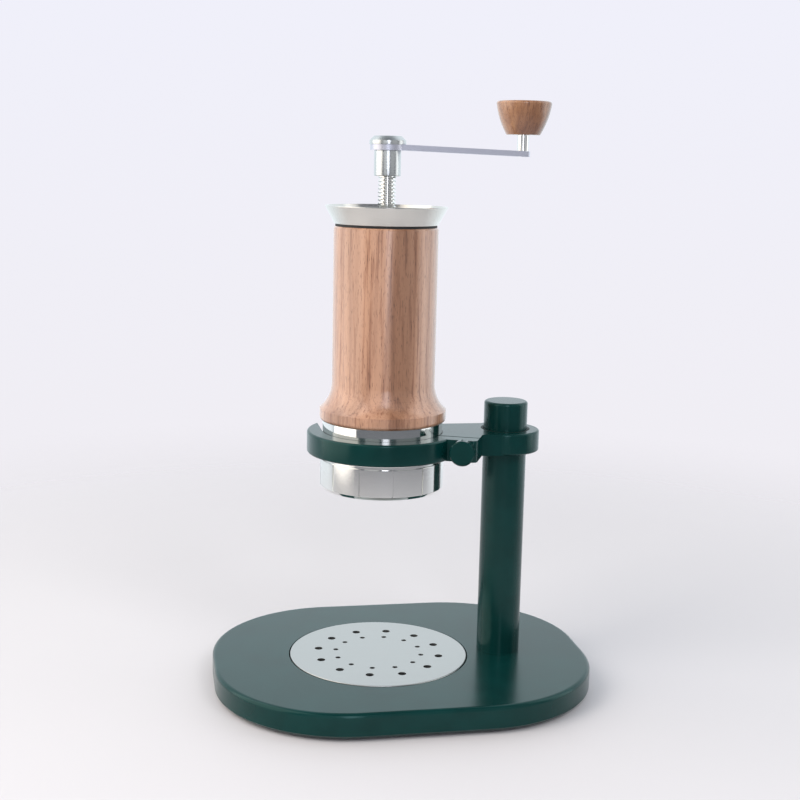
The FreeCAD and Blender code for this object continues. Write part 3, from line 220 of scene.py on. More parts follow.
@dataclass(frozen=True)
class Walnut(Finish):
    """Oiled walnut turned across its rings: broad figure, soft streaks, short dark pores and an oiled sheen.

    The pores are drawn a little wider than real ones, so that they show.
    """
    heart: str = "#946a4f"
    sap: str = "#bd9175"
    figure: float = 50 / 3
    waver: float = 20.0
    waver_rings: float = 4.0
    grain_stretch: float = 24.0
    ring: float = 9.0
    ring_shade: float = 0.4
    ring_stops: Stops = (
        (0.0, "#a88f82"), (0.12, "#f0e8e2"), (0.5, "#ffffff"), (0.82, "#dccdc2"), (1.0, "#a88f82"))
    pith: tuple[float, float] = (30.0, 64.0)
    streak: float = 1.6
    streak_shade: float = 0.6
    streak_stops: Stops = ((0.3, "#80604f"), (0.38, "#cdb8ab"), (0.48, "#ffffff"))
    pore: float = 0.34
    pore_length: float = 4.0
    pore_shade: float = 0.6
    pore_stops: Stops = ((0.29, "#6f4a39"), (0.39, "#ffffff"))
    pore_depth: float = 0.012
    roughness: float = 0.4
    oil: float = 1.0
    oil_roughness: float = 0.2

    def dress(self, tree: bpy.types.NodeTree, shader: bpy.types.Node) -> None:
        """Shade the ground colour by the rings, the streaks and the pores in turn, under an oiled sheen.

        Args:
            tree: the material's node tree.
            shader: its principled shader.
        """
        grain = coordinates(tree, (1.0, 1.0, self.grain_stretch))
        figure = add(tree, "ShaderNodeTexNoise", {"Scale": 1 / self.figure, "Detail": 2.0, "Roughness": 0.4},
                     {"Vector": grain})
        streak = add(tree, "ShaderNodeTexNoise", {"Scale": 1 / self.streak, "Detail": 4.0, "Roughness": 0.6},
                     {"Vector": grain})
        pores = add(tree, "ShaderNodeTexNoise", {"Scale": 1.0, "Detail": 1.0},
                    {"Vector": coordinates(tree, (self.pore, self.pore, self.pore_length))})
        wood = ramp(tree, figure.outputs["Fac"], ((0.36, self.heart), (0.52, self.sap)))
        for source, shade, stops in (
                (self.year(tree, grain), self.ring_shade, self.ring_stops),
                (streak.outputs["Fac"], self.streak_shade, self.streak_stops),
                (pores.outputs["Fac"], self.pore_shade, self.pore_stops)):
            mixed = add(tree, "ShaderNodeMix", {"data_type": "RGBA", "blend_type": "MULTIPLY", 0: shade},
                        {6: wood, 7: ramp(tree, source, stops)})
            wood = mixed.outputs[2]
        tree.links.new(wood, shader.inputs["Base Color"])
        bump(tree, shader, pores.outputs["Fac"], self.pore_depth)
        shader.inputs["Roughness"].default_value = self.roughness
        shader.inputs["Coat Weight"].default_value = self.oil
        shader.inputs["Coat Roughness"].default_value = self.oil_roughness

    def year(self, tree: bpy.types.NodeTree, grain: bpy.types.NodeSocket) -> bpy.types.NodeSocket:
        """The share of a year's growth at each place, in wavering rings about a pith outside the piece.

        Args:
            tree: the node tree to add to.
            grain: coordinates in millimetres, drawn out up the piece.

        Returns:
            The share's output socket.
        """
        waver = add(tree, "ShaderNodeTexNoise", {"Scale": 1 / self.waver, "Detail": 3.0, "Roughness": 0.5},
                    {"Vector": grain})
        flat = add(tree, "ShaderNodeVectorMath", {"operation": "MULTIPLY", 1: (1.0, 1.0, 0.0)}, {0: grain})
        offset = add(tree, "ShaderNodeVectorMath", {"operation": "ADD", 1: (*self.pith, 0.0)},
                     {0: flat.outputs["Vector"]})
        distance = add(tree, "ShaderNodeVectorMath", {"operation": "LENGTH"}, {0: offset.outputs["Vector"]})
        swing = add(tree, "ShaderNodeMath", {"operation": "MULTIPLY_ADD", 1: self.waver_rings * self.ring},
                    {0: waver.outputs["Fac"], 2: distance.outputs["Value"]})
        turns = add(tree, "ShaderNodeMath", {"operation": "DIVIDE", 1: self.ring},
                    {0: swing.outputs["Value"]})
        year = add(tree, "ShaderNodeMath", {"operation": "FRACT"}, {0: turns.outputs["Value"]})
        return year.outputs["Value"]


@dataclass(frozen=True)
class Stainless(Finish):
    """Stainless steel in one of its finishes: a mirror, or a soft gleam drawn out across the lines.

    The lines are drawn coarser than real ones, so that they show. A quarter turn sets the drawn-out gleam
    across the lathe's rings.
    """
    colour: str = "#d6d5d2"
    roughness: float = 0.12
    brushing: Brushing = Brushing.MIRROR
    anisotropy: float = 0.0
    gleam_turn: float = 0.25
    spread: tuple[float, float] = (0.8, 1.25)
    line_depth: float = 0.0006

    def dress(self, tree: bpy.types.NodeTree, shader: bpy.types.Node) -> None:
        """Metal whose roughness and bump follow the brushing.

        Args:
            tree: the material's node tree.
            shader: its principled shader.
        """
        lines = add(tree, "ShaderNodeTexNoise", {"Scale": 1.0, "Detail": 2.0},
                    {"Vector": coordinates(tree, self.brushing.value)})
        low, high = (self.roughness * share for share in self.spread)
        spread = add(tree, "ShaderNodeMapRange", {"To Min": low, "To Max": high},
                     {"Value": lines.outputs["Fac"]})
        tree.links.new(spread.outputs["Result"], shader.inputs["Roughness"])
        if self.brushing is not Brushing.MIRROR:
            bump(tree, shader, lines.outputs["Fac"], self.line_depth)
        if self.anisotropy:
            tangent = add(tree, "ShaderNodeTangent", {"direction_type": "RADIAL", "axis": "Z"})
            tree.links.new(tangent.outputs["Tangent"], shader.inputs["Tangent"])
            shader.inputs["Anisotropic"].default_value = self.anisotropy
            shader.inputs["Anisotropic Rotation"].default_value = self.gleam_turn
        shader.inputs["Base Color"].default_value = linear(self.colour)
        shader.inputs["Metallic"].default_value = 1.0


@dataclass(frozen=True)
class MouldedRubber(Finish):
    """Nitrile rubber from a mould: nearly black, dull, with a faint bloom."""
    colour: str = "#161616"
    bloomed: str = "#242424"
    bloom: float = 3.0
    roughness: float = 0.7

    def dress(self, tree: bpy.types.NodeTree, shader: bpy.types.Node) -> None:
        """Dull black with a cloudy bloom.

        Args:
            tree: the material's node tree.
            shader: its principled shader.
        """
        bloom = add(tree, "ShaderNodeTexNoise", {"Scale": 1.0},
                    {"Vector": coordinates(tree, (self.bloom, self.bloom, self.bloom))})
        tree.links.new(ramp(tree, bloom.outputs["Fac"], ((0.3, self.colour), (0.8, self.bloomed))),
                       shader.inputs["Base Color"])
        shader.inputs["Roughness"].default_value = self.roughness


@dataclass(frozen=True)
class TurnedBronze(Finish):
    """Bearing bronze as it leaves the lathe: warm, with fine rings."""
    colour: str = "#b98a4e"
    rings: tuple[float, float, float] = (40.0, 40.0, 0.3)
    roughness: tuple[float, float] = (0.25, 0.4)

    def dress(self, tree: bpy.types.NodeTree, shader: bpy.types.Node) -> None:
        """Warm metal with lathe rings in its roughness.

        Args:
            tree: the material's node tree.
            shader: its principled shader.
        """
        rings = add(tree, "ShaderNodeTexNoise", {"Scale": 1.0}, {"Vector": coordinates(tree, self.rings)})
        low, high = self.roughness
        spread = add(tree, "ShaderNodeMapRange", {"To Min": low, "To Max": high},
                     {"Value": rings.outputs["Fac"]})
        tree.links.new(spread.outputs["Result"], shader.inputs["Roughness"])
        shader.inputs["Base Color"].default_value = linear(self.colour)
        shader.inputs["Metallic"].default_value = 1.0


@dataclass(frozen=True)
class TurnedPlastic(Finish):
    """Acetal or nylon turned from bar: slightly waxy, with faint tool rings."""
    colour: str = "#dcdad2"
    roughness: float = 0.42
    rings: tuple[float, float, float] = (40.0, 40.0, 0.4)
    ring_depth: float = 0.004

    def dress(self, tree: bpy.types.NodeTree, shader: bpy.types.Node) -> None:
        """Waxy plastic with faint tool rings.

        Args:
            tree: the material's node tree.
            shader: its principled shader.
        """
        rings = add(tree, "ShaderNodeTexNoise", {"Scale": 1.0}, {"Vector": coordinates(tree, self.rings)})
        bump(tree, shader, rings.outputs["Fac"], self.ring_depth)
        shader.inputs["Base Color"].default_value = linear(self.colour)
        shader.inputs["Roughness"].default_value = self.roughness


GREEN = PowderCoat("powder_coated_steel")
SLEEVE_WALNUT = Walnut("oiled_pale_walnut")
KNOB_WALNUT = Walnut(
    "oiled_warm_walnut", "#84573a", "#a87a56", ring=4.0, streak=1.0, pore=0.3, pore_length=3.0)
POLISHED = Stainless("polished_stainless", "#e2e2df", 0.09)
SATIN = Stainless("satin_stainless", "#cccfce", 0.25)
BRUSHED = Stainless("turned_stainless", "#d8d6d0", 0.24, Brushing.TURNED, 0.8)
SHEET = Stainless("brushed_sheet", "#bcbdba", 0.34, Brushing.STRAIGHT)
BLASTED = Stainless("blasted_stainless", "#cdced9", 0.42, Brushing.BLASTED)
FASTENER = Stainless("fastener_stainless", "#b5b5b5", 0.25)
RUBBER = MouldedRubber("moulded_rubber")
BRONZE = TurnedBronze("turned_bronze")
ACETAL = TurnedPlastic("turned_acetal")
NYLON = TurnedPlastic("dark_green_nylon", "#08211f", 0.6)


# Meshes
WELD = 0.002 * MM           # vertices nearer than this are one
BEVEL_STEPS = 3
BEVEL_ANGLE = 35.0          # edges that turn by fewer degrees stay as they are


@dataclass(frozen=True)
class Corner:
    """A corner of a turned profile, rounded by blend."""
    radius: float
    height: float
    blend: float = 0.0


def rounded(corners: list[Corner], steps: int = 5) -> Outline:
    """Round the corners of a closed profile.

    Args:
        corners: the corners in order.
        steps: edges in each rounded corner.

    Returns:
        The profile's points.
    """
    points: Outline = []
    for index, corner in enumerate(corners):
        here = Vector((corner.radius, corner.height))
        if corner.blend <= 0:
            points.append((here.x, here.y))
            continue
        before = corners[index - 1]
        after = corners[(index + 1) % len(corners)]
        back = (Vector((before.radius, before.height)) - here).normalized()
        on = (Vector((after.radius, after.height)) - here).normalized()
        half = back.angle(on) / 2
        reach = corner.blend / math.tan(half)
        centre = here + (back + on).normalized() * (corner.blend / math.sin(half))
        start, end = here + back * reach - centre, here + on * reach - centre
        sweep = start.angle_signed(end)
        for step in range(steps + 1):
            arm = Matrix.Rotation(-sweep * step / steps, 2) @ start
            points.append((centre.x + arm.x, centre.y + arm.y))
    return points


def finish_mesh(name: str, form: bmesh.types.BMesh, sharp: float = 32.0) -> bpy.types.Object:
    """Make a smooth-shaded object of a bmesh.

    Args:
        name: the object's name.
        form: the mesh, which is freed.
        sharp: edges that turn by more degrees than this stay crisp.

    Returns:
        The new object.
    """
    bmesh.ops.recalc_face_normals(form, faces=form.faces)
    mesh = bpy.data.meshes.new(name)
    form.to_mesh(mesh)
    form.free()
    mesh.shade_smooth()
    mesh.set_sharp_from_angle(angle=math.radians(sharp))
    made = bpy.data.objects.new(name, mesh)
    bpy.context.scene.collection.objects.link(made)
    return made


def turned(name: str, profile: Outline, axis: Vector, steps: int = 180) -> bpy.types.Object:
    """Turn a closed profile about an upright axis.

    Args:
        name: the object's name.
        profile: radius and height of each point.
        axis: any point of the axis, in metres.
        steps: edges round the piece.

    Returns:
        The new object.
    """
    form = bmesh.new()
    rings = []
    for radius, height in profile:
        place = Vector((axis.x, axis.y, height * MM))
        if not radius:
            rings.append([form.verts.new(place)])
            continue
        turns = [2 * math.pi * step / steps for step in range(steps)]
        rings.append([form.verts.new(place + Vector((math.cos(turn), math.sin(turn), 0)) * radius * MM)
                      for turn in turns])
    for low, high in zip(rings, rings[1:] + rings[:1]):
        for step in range(steps):
            around = [low[step % len(low)], low[(step + 1) % len(low)],
                      high[(step + 1) % len(high)], high[step % len(high)]]
            corners = list(dict.fromkeys(around))
            if len(corners) > 2:
                form.faces.new(corners)
    return finish_mesh(name, form)


def middle(node: str) -> Vector:
    """The middle of a node's box."""
    low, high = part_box(node)
    return (low + high) / 2


def span(node: str) -> tuple[float, float, float]:
    """A node's largest radius, its bottom and its top, in millimetres."""
    low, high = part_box(node)
    return (high.x - low.x) / 2 / MM, low.z / MM, high.z / MM


def dress(node: str, finish: Finish, edge: float = 0.0) -> None:
    """Give a CAD node its finish, and take the sharpness off its edges where a width is given.

    Args:
        node: the node's name.
        finish: the finish for all of its slots.
        edge: the width of the softened edges in millimetres, or zero to leave them.
    """
    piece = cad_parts[node]
    if not piece.material_slots:
        piece.data.materials.append(finish.material())
    for holder in piece.material_slots:
        holder.material = finish.material()
    if edge:
        weld = piece.modifiers.new("weld", "WELD")
        weld.merge_threshold = WELD
        bevel = piece.modifiers.new("edge", "BEVEL")
        bevel.width = edge * MM
        bevel.segments = BEVEL_STEPS
        bevel.limit_method = "ANGLE"
        bevel.angle_limit = math.radians(BEVEL_ANGLE)
        bevel.harden_normals = True
    LOG.info("dressed %s in %s", node, finish.name)


def stand_for(piece: bpy.types.Object, node: str, body: str, finish: Finish) -> None:
    """Let a new piece stand for a CAD node.

    Args:
        piece: the new object.
        node: the name of the CAD node that it replaces.
        body: the body that it rides on.
        finish: its finish.
    """
    piece.data.materials.append(finish.material())
    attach(piece, body)
    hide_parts(node)
    LOG.info("built %s for %s", piece.name, node)


# Sub-assemblies
@dataclass
class Stand:
    """Base plate, feet and column."""

    def build(self) -> None:
        """Dress the plate, its feet, the column and its fastenings."""
        dress("base_plate", GREEN)
        dress("base_feet", RUBBER)
        dress("column_tube", GREEN)
        dress("column_cap", GREEN)
        for node in ("column_foot_plug", "column_bolt", "column_washer"):
            dress(node, FASTENER)


@dataclass
class Tray:
    """Drip pan and its punched grille."""

    def build(self) -> None:
        """Dress the pan and the grille."""
        dress("drip_pan", SHEET)
        dress("drip_grille", SHEET)


@dataclass
class Holder:
    """Arm, strap and clamp screw."""
    edge: float = 0.15

    def build(self) -> None:
        """Dress the castings and their fastenings."""
        dress("holder_arm", GREEN, self.edge)
        dress("ring_strap", GREEN, self.edge)
        dress("clamp_knob", GREEN)
        dress("collar_liner", NYLON)
        for node in ("collar_set_screw", "strap_dowel", "clamp_stud"):
            dress(node, FASTENER)


@dataclass
class Brewer:
    """Polished body, chamber, walnut sleeve and funnel."""
    seat: float = 25.05
    foot: float = 28.7
    mouth: float = 34.0
    seat_height: float = 3.2
    rim: float = 0.4
    wall_foot: float = 29.096
    wall_mouth: float = 32.7
    soft: float = 0.15

    def build(self) -> None:
        """Build the funnel and dress the rest of the brewer's body."""
        stand_for(self.funnel(), "funnel", "brewer", BRUSHED)
        dress("body_collar", POLISHED)
        dress("wood_sleeve", SLEEVE_WALNUT)
        for node in ("chamber_tube", "spindle_bridge", "dispersion_screen"):
            dress(node, BRUSHED)
        for node in ("tube_seal", "funnel_gasket", "group_gasket"):
            dress(node, RUBBER)
        dress("spindle_nut", BRONZE)
        dress("screen_bolt", FASTENER)

    def funnel(self) -> bpy.types.Object:
        """The funnel with its soft rim, turned finely.

        Returns:
            The new object.
        """
        _, low, high = span("funnel")
        floor = low + self.seat_height
        return turned("funnel_turned", rounded([
            Corner(self.seat, low), Corner(self.foot, low, self.soft),
            Corner(self.mouth, high - self.rim, self.soft),
            Corner(self.mouth - self.rim, high, self.soft), Corner(self.wall_mouth, high, self.soft),
            Corner(self.wall_foot, floor), Corner(self.seat, floor)]), middle("funnel"))


@dataclass
class Piston:
    """Piston with its seals and one-way valve."""

    def build(self) -> None:
        """Dress the pieces inside the chamber."""
        dress("piston_head", ACETAL)
        dress("piston_seals", RUBBER)
        dress("valve_ring", RUBBER)
        dress("spindle_retainer", FASTENER)
        dress("valve_bolt", FASTENER)


@dataclass
class Crank:
    """Threaded spindle, hub, arm and turned knob."""
    core: float = 3.8
    crest: float = 5.0
    pitch: float = 2.0
    starts: int = 2
    neck: float = 5.7
    flange: float = 7.0
    flange_height: float = 3.0
    thread_low: float = 209.6
    steps: int = 72
    crest_break: float = 0.1
    run_in: float = 0.05        # the ridges begin this far above the neck
    run_out: float = 0.3        # and end this far inside the hub
    shank_start: float = 0.4
    join: float = 0.004         # points nearer than this are one
    sliver: float = 0.002       # faces thinner than this are dropped
    crisp: float = 25.0
    hub_bevel: float = 0.4
    cap_top: float = 7.7
    cap_bore: float = 2.2
    soft: float = 0.2

    def build(self) -> None:
        """Build the spindle's thread and dress the rest."""
        stand_for(self.spindle(), "spindle", "crank", POLISHED)
        stand_for(self.hub(), "crank_hub", "crank", SATIN)
        stand_for(self.cap(), "cap_nut", "crank", SATIN)
        dress("crank_arm", BLASTED)
        dress("knob_axle", POLISHED)
        dress("knob_clip", FASTENER)
        dress("knob", KNOB_WALNUT)
        dress("knob_plug", KNOB_WALNUT)
        dress("knob_bush", BRONZE)

    def hub(self) -> bpy.types.Object:
        """The hub's plain sleeve, turned finely.

        Returns:
            The new object.
        """
        outer, low, high = span("crank_hub")
        return turned("hub_turned", rounded([
            Corner(self.core, low), Corner(outer, low, self.hub_bevel), Corner(outer, high, self.soft / 2),
            Corner(self.core, high)]), middle("crank_hub"))

    def cap(self) -> bpy.types.Object:
        """The cap nut over the crank's eye, with its blind bore.

        Returns:
            The new object.
        """
        outer, low, high = span("cap_nut")
        return turned("cap_turned", rounded([
            Corner(self.core, low), Corner(outer, low, self.soft),
            Corner(outer, high - outer + self.cap_top, self.soft), Corner(self.cap_top, high, self.soft),
            Corner(0.0, high), Corner(0.0, low + self.cap_bore), Corner(self.core, low + self.cap_bore)]),
            middle("cap_nut"))

    def spindle(self) -> bpy.types.Object:
        """The spindle with its two-start right-hand thread as one closed surface.

        Returns:
            The new object.
        """
        axis = middle("spindle")
        low, high = (end.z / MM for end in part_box("spindle"))
        thread_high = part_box("crank_hub")[0].z / MM
        lead = self.starts * self.pitch
        form = bmesh.new()

        def ring(radius: float, height: float) -> list[bmesh.types.BMVert]:
            """Add a flat ring of vertices.

            Args:
                radius: the ring's radius in millimetres.
                height: its height in millimetres.

            Returns:
                The vertices in order.
            """
            turns = [2 * math.pi * step / self.steps for step in range(self.steps)]
            return [form.verts.new((
                axis.x + radius * MM * math.cos(turn), axis.y + radius * MM * math.sin(turn), height * MM))
                for turn in turns]

        def skin(first: list[bmesh.types.BMVert], second: list[bmesh.types.BMVert]) -> None:
            """Join two rings by a band of faces.

            Args:
                first: the lower ring.
                second: the upper ring.
            """
            for step in range(self.steps):
                after = (step + 1) % self.steps
                form.faces.new((first[step], first[after], second[after], second[step]))

        broken = self.crest - self.crest_break
        shape = [(0.0, self.core), (0.17, broken), (0.2, self.crest), (0.5, self.crest), (0.53, broken),
                 (0.7, self.core)]       # share of the pitch and radius, over one ridge of the thread
        rows = int((thread_high + lead - self.thread_low) / self.pitch) + 2
        grid = []
        for row in range(rows):
            for share, radius in shape:
                line = []
                for step in range(self.steps):
                    turn = 2 * math.pi * step / self.steps
                    height = self.thread_low + (row + share) * self.pitch - lead + lead * step / self.steps
                    inside = self.thread_low + self.run_in < height < thread_high + self.run_out
                    reach = radius if inside else self.core
                    height = min(max(height, self.thread_low), thread_high + self.shank_start)
                    line.append(form.verts.new((axis.x + reach * MM * math.cos(turn),
                                                axis.y + reach * MM * math.sin(turn), height * MM)))
                grid.append(line)
        shift = self.starts * len(shape)
        for index in range(len(grid) - 1):
            for step in range(self.steps - 1):
                form.faces.new((grid[index][step], grid[index][step + 1], grid[index + 1][step + 1],
                                grid[index + 1][step]))
            if index + shift + 1 < len(grid):
                form.faces.new((grid[index + shift][0], grid[index][-1], grid[index + 1][-1],
                                grid[index + shift + 1][0]))
        shoulder = low + self.flange_height
        base = [ring(radius, height) for radius, height in (
            (self.flange, low), (self.flange, shoulder), (self.neck, shoulder),
            (self.neck, self.thread_low), (self.core, self.thread_low))]
        for first, second in zip(base, base[1:]):
            skin(first, second)
        form.faces.new(base[0])
        top = [ring(self.core, thread_high + self.shank_start), ring(self.core, high)]
        skin(top[0], top[1])
        form.faces.new(top[1])
        bmesh.ops.remove_doubles(form, verts=form.verts, dist=self.join * MM)
        bmesh.ops.dissolve_degenerate(form, edges=form.edges, dist=self.sliver * MM)
        return finish_mesh("spindle_threaded", form, self.crisp)


@dataclass
class Outlet:
    """Bottomless portafilter and its basket."""
    outer: float = 35.1
    skirt: float = 32.0
    throat: float = 26.4
    low: float = 116.0
    ledge: float = 127.6
    high: float = 136.3
    chamfer: float = 1.9
    groove_drop: float = 1.6
    groove_width: float = 1.6
    groove_depth: float = 0.7
    edge: float = 0.25
    grips: int = 12
    grip_width: float = 0.8
    grip_depth: float = 0.5
    grip_floor: float = 0.8
    steps_between: int = 14
    crisp: float = 30.0

    def build(self) -> None:
        """Build the portafilter with its grip lines and dress the basket."""
        stand_for(self.portafilter(), "portafilter_ring", "portafilter", POLISHED)
        dress("filter_basket", BRUSHED)

    def profile(self, grip: float) -> Outline:
        """The ring's section.

        Args:
            grip: how far the side is set back, in millimetres: the depth of a grip line, or zero.

        Returns:
            The section's points.
        """
        groove_top = self.high - self.groove_drop
        groove_low = groove_top - self.groove_width
        side = self.outer - grip
        soft = self.edge
        return rounded([
            Corner(self.throat, self.low, soft), Corner(self.outer - self.chamfer, self.low, soft),
            Corner(self.outer, self.low + self.chamfer, soft), Corner(side, self.low + self.chamfer + soft),
            Corner(side, groove_low - soft), Corner(self.outer, groove_low, soft / 2),
            Corner(self.outer - self.groove_depth, groove_low),
            Corner(self.outer - self.groove_depth, groove_top),
            Corner(self.outer, groove_top, soft / 2), Corner(self.outer, self.high, soft),
            Corner(self.skirt, self.high, soft), Corner(self.skirt, self.ledge),
            Corner(self.throat, self.ledge)])

    def portafilter(self) -> bpy.types.Object:
        """Turn the section about the brewer's axis, and sink it at the grip lines.

        Returns:
            The new object.
        """
        axis = middle("portafilter_ring")
        plain, sunk = self.profile(0.0), self.profile(self.grip_depth)
        half = math.degrees(self.grip_width / 2 / self.outer)
        pitch = 360 / self.grips
        form = bmesh.new()
        columns = []
        for grip in range(self.grips):
            start = grip * pitch
            floor = half * self.grip_floor
            for turn, section in ((-half, plain), (-floor, sunk), (floor, sunk), (half, plain)):
                columns.append((start + turn, section))
            for step in range(1, self.steps_between):
                columns.append((start + half + (pitch - 2 * half) * step / self.steps_between, plain))
        rings = []
        for turn, section in columns:
            across, along = math.cos(math.radians(turn)), math.sin(math.radians(turn))
            rings.append([form.verts.new((
                axis.x + radius * MM * across, axis.y + radius * MM * along, height * MM))
                for radius, height in section])
        for first, second in zip(rings, rings[1:] + rings[:1]):
            for index in range(len(first)):
                after = (index + 1) % len(first)
                form.faces.new((first[index], first[after], second[after], second[index]))
        return finish_mesh("portafilter_turned", form, self.crisp)


@dataclass(frozen=True)
class SoftBox:
    """One rectangular soft light, with its place and size in metres and its radiance.

    Its bearing is in degrees to the right of the camera, seen from the brewer. A light that isn't mirrored
    shines on surfaces but shows in none.
    """
    name: str
    bearing: float
    reach: float
    height: float
    width: float
    tall: float
    glow: float
    colour: str = "#ffffff"
    mirrored: bool = True


@dataclass
class Studio:
    """Pale floor and backdrop, soft lights and the camera at the photograph's angle."""
    floor_colour: str = "#cfccce"
    floor_fade: tuple[float, float] = (200.0, 800.0)
    floor_radius: float = 3.0
    floor_drop: float = 0.05
    floor_roughness: float = 0.7
    backdrop_low: str = "#f0edf1"
    backdrop_high: str = "#f0f0fa"
    backdrop_radius: float = 6.0
    backdrop_span: tuple[float, float] = (-2.0, 1.0)
    room_colour: str = "#66696f"
    wall_colour: str = "#e2ebf2"
    room_strength: float = 1.35
    wall_edge: tuple[float, float] = (-0.1, 0.5)
    aim_height: float = 0.15
    boxes: tuple[SoftBox, ...] = (
        SoftBox("window", -76.0, 1.3, 0.75, 1.7, 2.3, 1.8, "#fff7ee"),
        SoftBox("left_key", -58.0, 1.5, 1.3, 1.0, 1.0, 5.0, "#fff9f2", False),
        SoftBox("side", 92.0, 1.5, 0.7, 0.8, 2.0, 1.3),
        SoftBox("fill", -18.0, 1.65, 0.75, 0.85, 1.8, 0.6),
        SoftBox("strip", 7.0, 1.6, 0.75, 0.36, 1.6, 4.0, "#f2f4ff"),
        SoftBox("fill_right", 47.0, 1.65, 0.75, 1.3, 1.8, 0.35),
        SoftBox("key", 38.0, 1.5, 1.5, 0.7, 0.7, 6.0, mirrored=False))
    camera_place: tuple[float, float, float] = (-0.1410, -0.7203, 0.2967)
    heading: float = 10.83
    pitch: float = 10.11
    roll: float = 1.224
    focal_pixels: float = 1313.5
    frame_pixels: float = 800.0
    sensor: float = 36.0
    clip_start: float = 0.05

    def build(self) -> None:
        """Set up the floor, the backdrop, the light and the camera."""
        self.floor()
        self.backdrop()
        self.room()
        for box in self.boxes:
            self.light(box)
        self.camera()

    def floor(self) -> None:
        """A wide pale floor just below the feet, which fades out far from the object: no edge shows."""
        form = bmesh.new()
        bmesh.ops.create_circle(form, cap_ends=True, radius=self.floor_radius, segments=96)
        floor = finish_mesh("floor", form)
        floor.location.z = -self.floor_drop * MM
        material = bpy.data.materials.new("studio_floor")
        material.use_nodes = True
        tree = material.node_tree
        shader = tree.nodes["Principled BSDF"]
        shader.inputs["Base Color"].default_value = linear(self.floor_colour)
        shader.inputs["Roughness"].default_value = self.floor_roughness
        away = add(tree, "ShaderNodeVectorMath", {"operation": "LENGTH"},
                   {0: coordinates(tree, (1.0, 1.0, 1.0))})
        near, far = self.floor_fade
        fade = add(tree, "ShaderNodeMapRange", {
            "interpolation_type": "SMOOTHSTEP", "From Min": near, "From Max": far},
            {"Value": away.outputs["Value"]})
        clear = add(tree, "ShaderNodeBsdfTransparent")
        mixed = add(tree, "ShaderNodeMixShader", links={
            0: fade.outputs["Result"], 1: shader.outputs["BSDF"], 2: clear.outputs["BSDF"]})
        tree.links.new(mixed.outputs["Shader"], tree.nodes["Material Output"].inputs["Surface"])
        floor.data.materials.append(material)

    def backdrop(self) -> None:
        """A pale globe round the studio that only the camera sees, so that it neither lights nor shades."""
        form = bmesh.new()
        bmesh.ops.create_uvsphere(form, u_segments=64, v_segments=32, radius=self.backdrop_radius)
        globe = finish_mesh("backdrop", form)
        for ray in ("diffuse", "glossy", "transmission", "volume_scatter", "shadow"):
            setattr(globe, "visible_" + ray, False)
        material = bpy.data.materials.new("studio_backdrop")
        material.use_nodes = True
        tree = material.node_tree
        tree.nodes.remove(tree.nodes["Principled BSDF"])
        split = add(tree, "ShaderNodeSeparateXYZ", links={0: coordinates(tree, (1.0, 1.0, 1 / MM))})
        low, high = self.backdrop_span
        share = add(tree, "ShaderNodeMapRange", {"From Min": low, "From Max": high},
                    {"Value": split.outputs["Z"]})
        colour = ramp(tree, share.outputs["Result"], ((0.0, self.backdrop_low), (1.0, self.backdrop_high)))
        glow = add(tree, "ShaderNodeEmission", links={"Color": colour})
        tree.links.new(glow.outputs["Emission"], tree.nodes["Material Output"].inputs["Surface"])
        globe.data.materials.append(material)

    def room(self) -> None:
        """The dim room that fills the shadows, with a pale wall behind the object."""
        world = bpy.data.worlds.new("studio")
        bpy.context.scene.world = world
        world.use_nodes = True
        tree = world.node_tree
        place = add(tree, "ShaderNodeTexCoord")
        behind = self.direction(180.0)
        toward = add(tree, "ShaderNodeVectorMath", {"operation": "DOT_PRODUCT", 1: (behind.x, behind.y, 0.0)},
                     {0: place.outputs["Generated"]})
        begin, full = self.wall_edge
        share = add(tree, "ShaderNodeMapRange", {
            "interpolation_type": "SMOOTHSTEP", "From Min": begin, "From Max": full},
            {"Value": toward.outputs["Value"]})
        colour = ramp(tree, share.outputs["Result"], ((0.0, self.room_colour), (1.0, self.wall_colour)))
        tree.links.new(colour, tree.nodes["Background"].inputs["Color"])
        tree.nodes["Background"].inputs["Strength"].default_value = self.room_strength

    def direction(self, bearing: float) -> Vector:
        """The level direction at a bearing to the right of the camera, seen from the object."""
        turn = math.radians(bearing - 90.0 - self.heading)
        return Vector((math.cos(turn), math.sin(turn), 0.0))

    def light(self, box: SoftBox) -> None:
        """Hang one soft light, turned to the middle of the object, and keep it out of the camera's sight.

        Args:
            box: the light to hang.
        """
        lamp = bpy.data.lights.new(box.name, "AREA")
        lamp.shape = "RECTANGLE"
        lamp.size, lamp.size_y = box.width, box.tall
        lamp.energy = box.glow * math.pi * box.width * box.tall
        lamp.color = linear(box.colour)[:3]
        holder = bpy.data.objects.new(box.name, lamp)
        holder.location = self.direction(box.bearing) * box.reach + Vector((0.0, 0.0, box.height))
        aim = Vector((0.0, 0.0, self.aim_height)) - holder.location
        holder.rotation_euler = aim.to_track_quat("-Z", "Y").to_euler()
        holder.visible_camera = False
        holder.visible_glossy = box.mirrored
        bpy.context.scene.collection.objects.link(holder)

    def camera(self) -> None:
        """The camera, in the place worked out from the photograph."""
        heading, pitch, roll = (math.radians(angle) for angle in (self.heading, self.pitch, self.roll))
        ahead = Vector((
            math.sin(heading) * math.cos(pitch), math.cos(heading) * math.cos(pitch), -math.sin(pitch)))
        level = Vector((math.cos(heading), -math.sin(heading), 0.0))
        above = level.cross(ahead)
        right = level * math.cos(roll) + above * math.sin(roll)
        up = above * math.cos(roll) - level * math.sin(roll)
        data = bpy.data.cameras.new("camera")
        data.sensor_width = self.sensor
        data.lens = self.focal_pixels / self.frame_pixels * self.sensor
        data.clip_start = self.clip_start
        camera = bpy.data.objects.new("camera", data)
        camera.matrix_world = Matrix.Translation(self.camera_place) @ Matrix(
            (right, up, -ahead)).transposed().to_4x4()
        bpy.context.scene.collection.objects.link(camera)
        bpy.context.scene.camera = camera


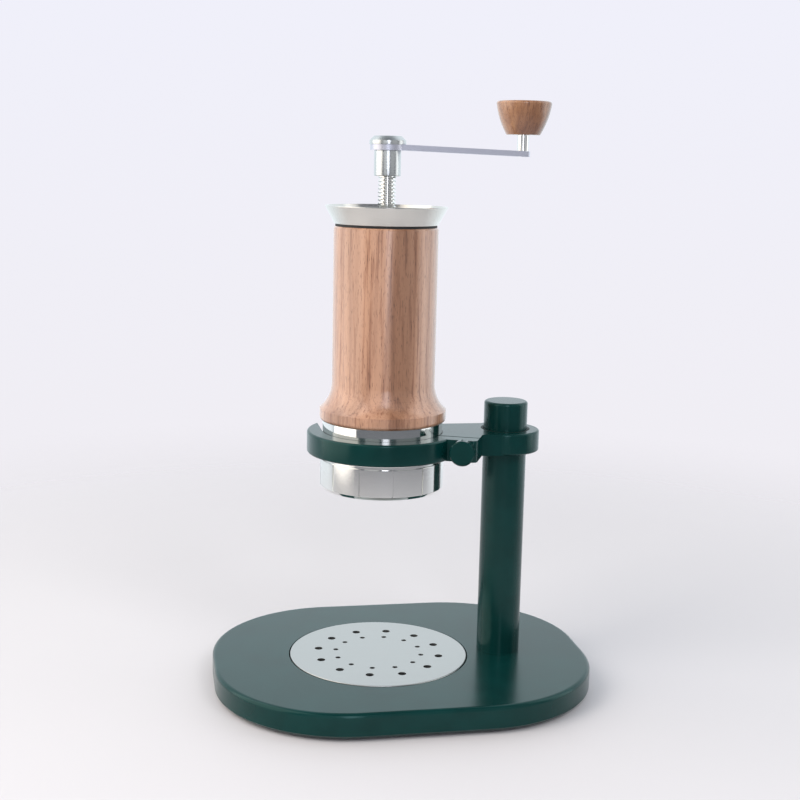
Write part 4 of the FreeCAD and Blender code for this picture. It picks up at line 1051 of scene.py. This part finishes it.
def main() -> None:
    """Build every sub-assembly and the studio."""
    logging.basicConfig(level=logging.INFO, format="%(message)s")
    for assembly in (Stand(), Tray(), Holder(), Brewer(), Piston(), Crank(), Outlet(), Studio()):
        LOG.info("building %s", type(assembly).__name__)
        assembly.build()
    bpy.context.scene.view_settings.view_transform = "Standard"


if __name__ == "__main__":
    main()
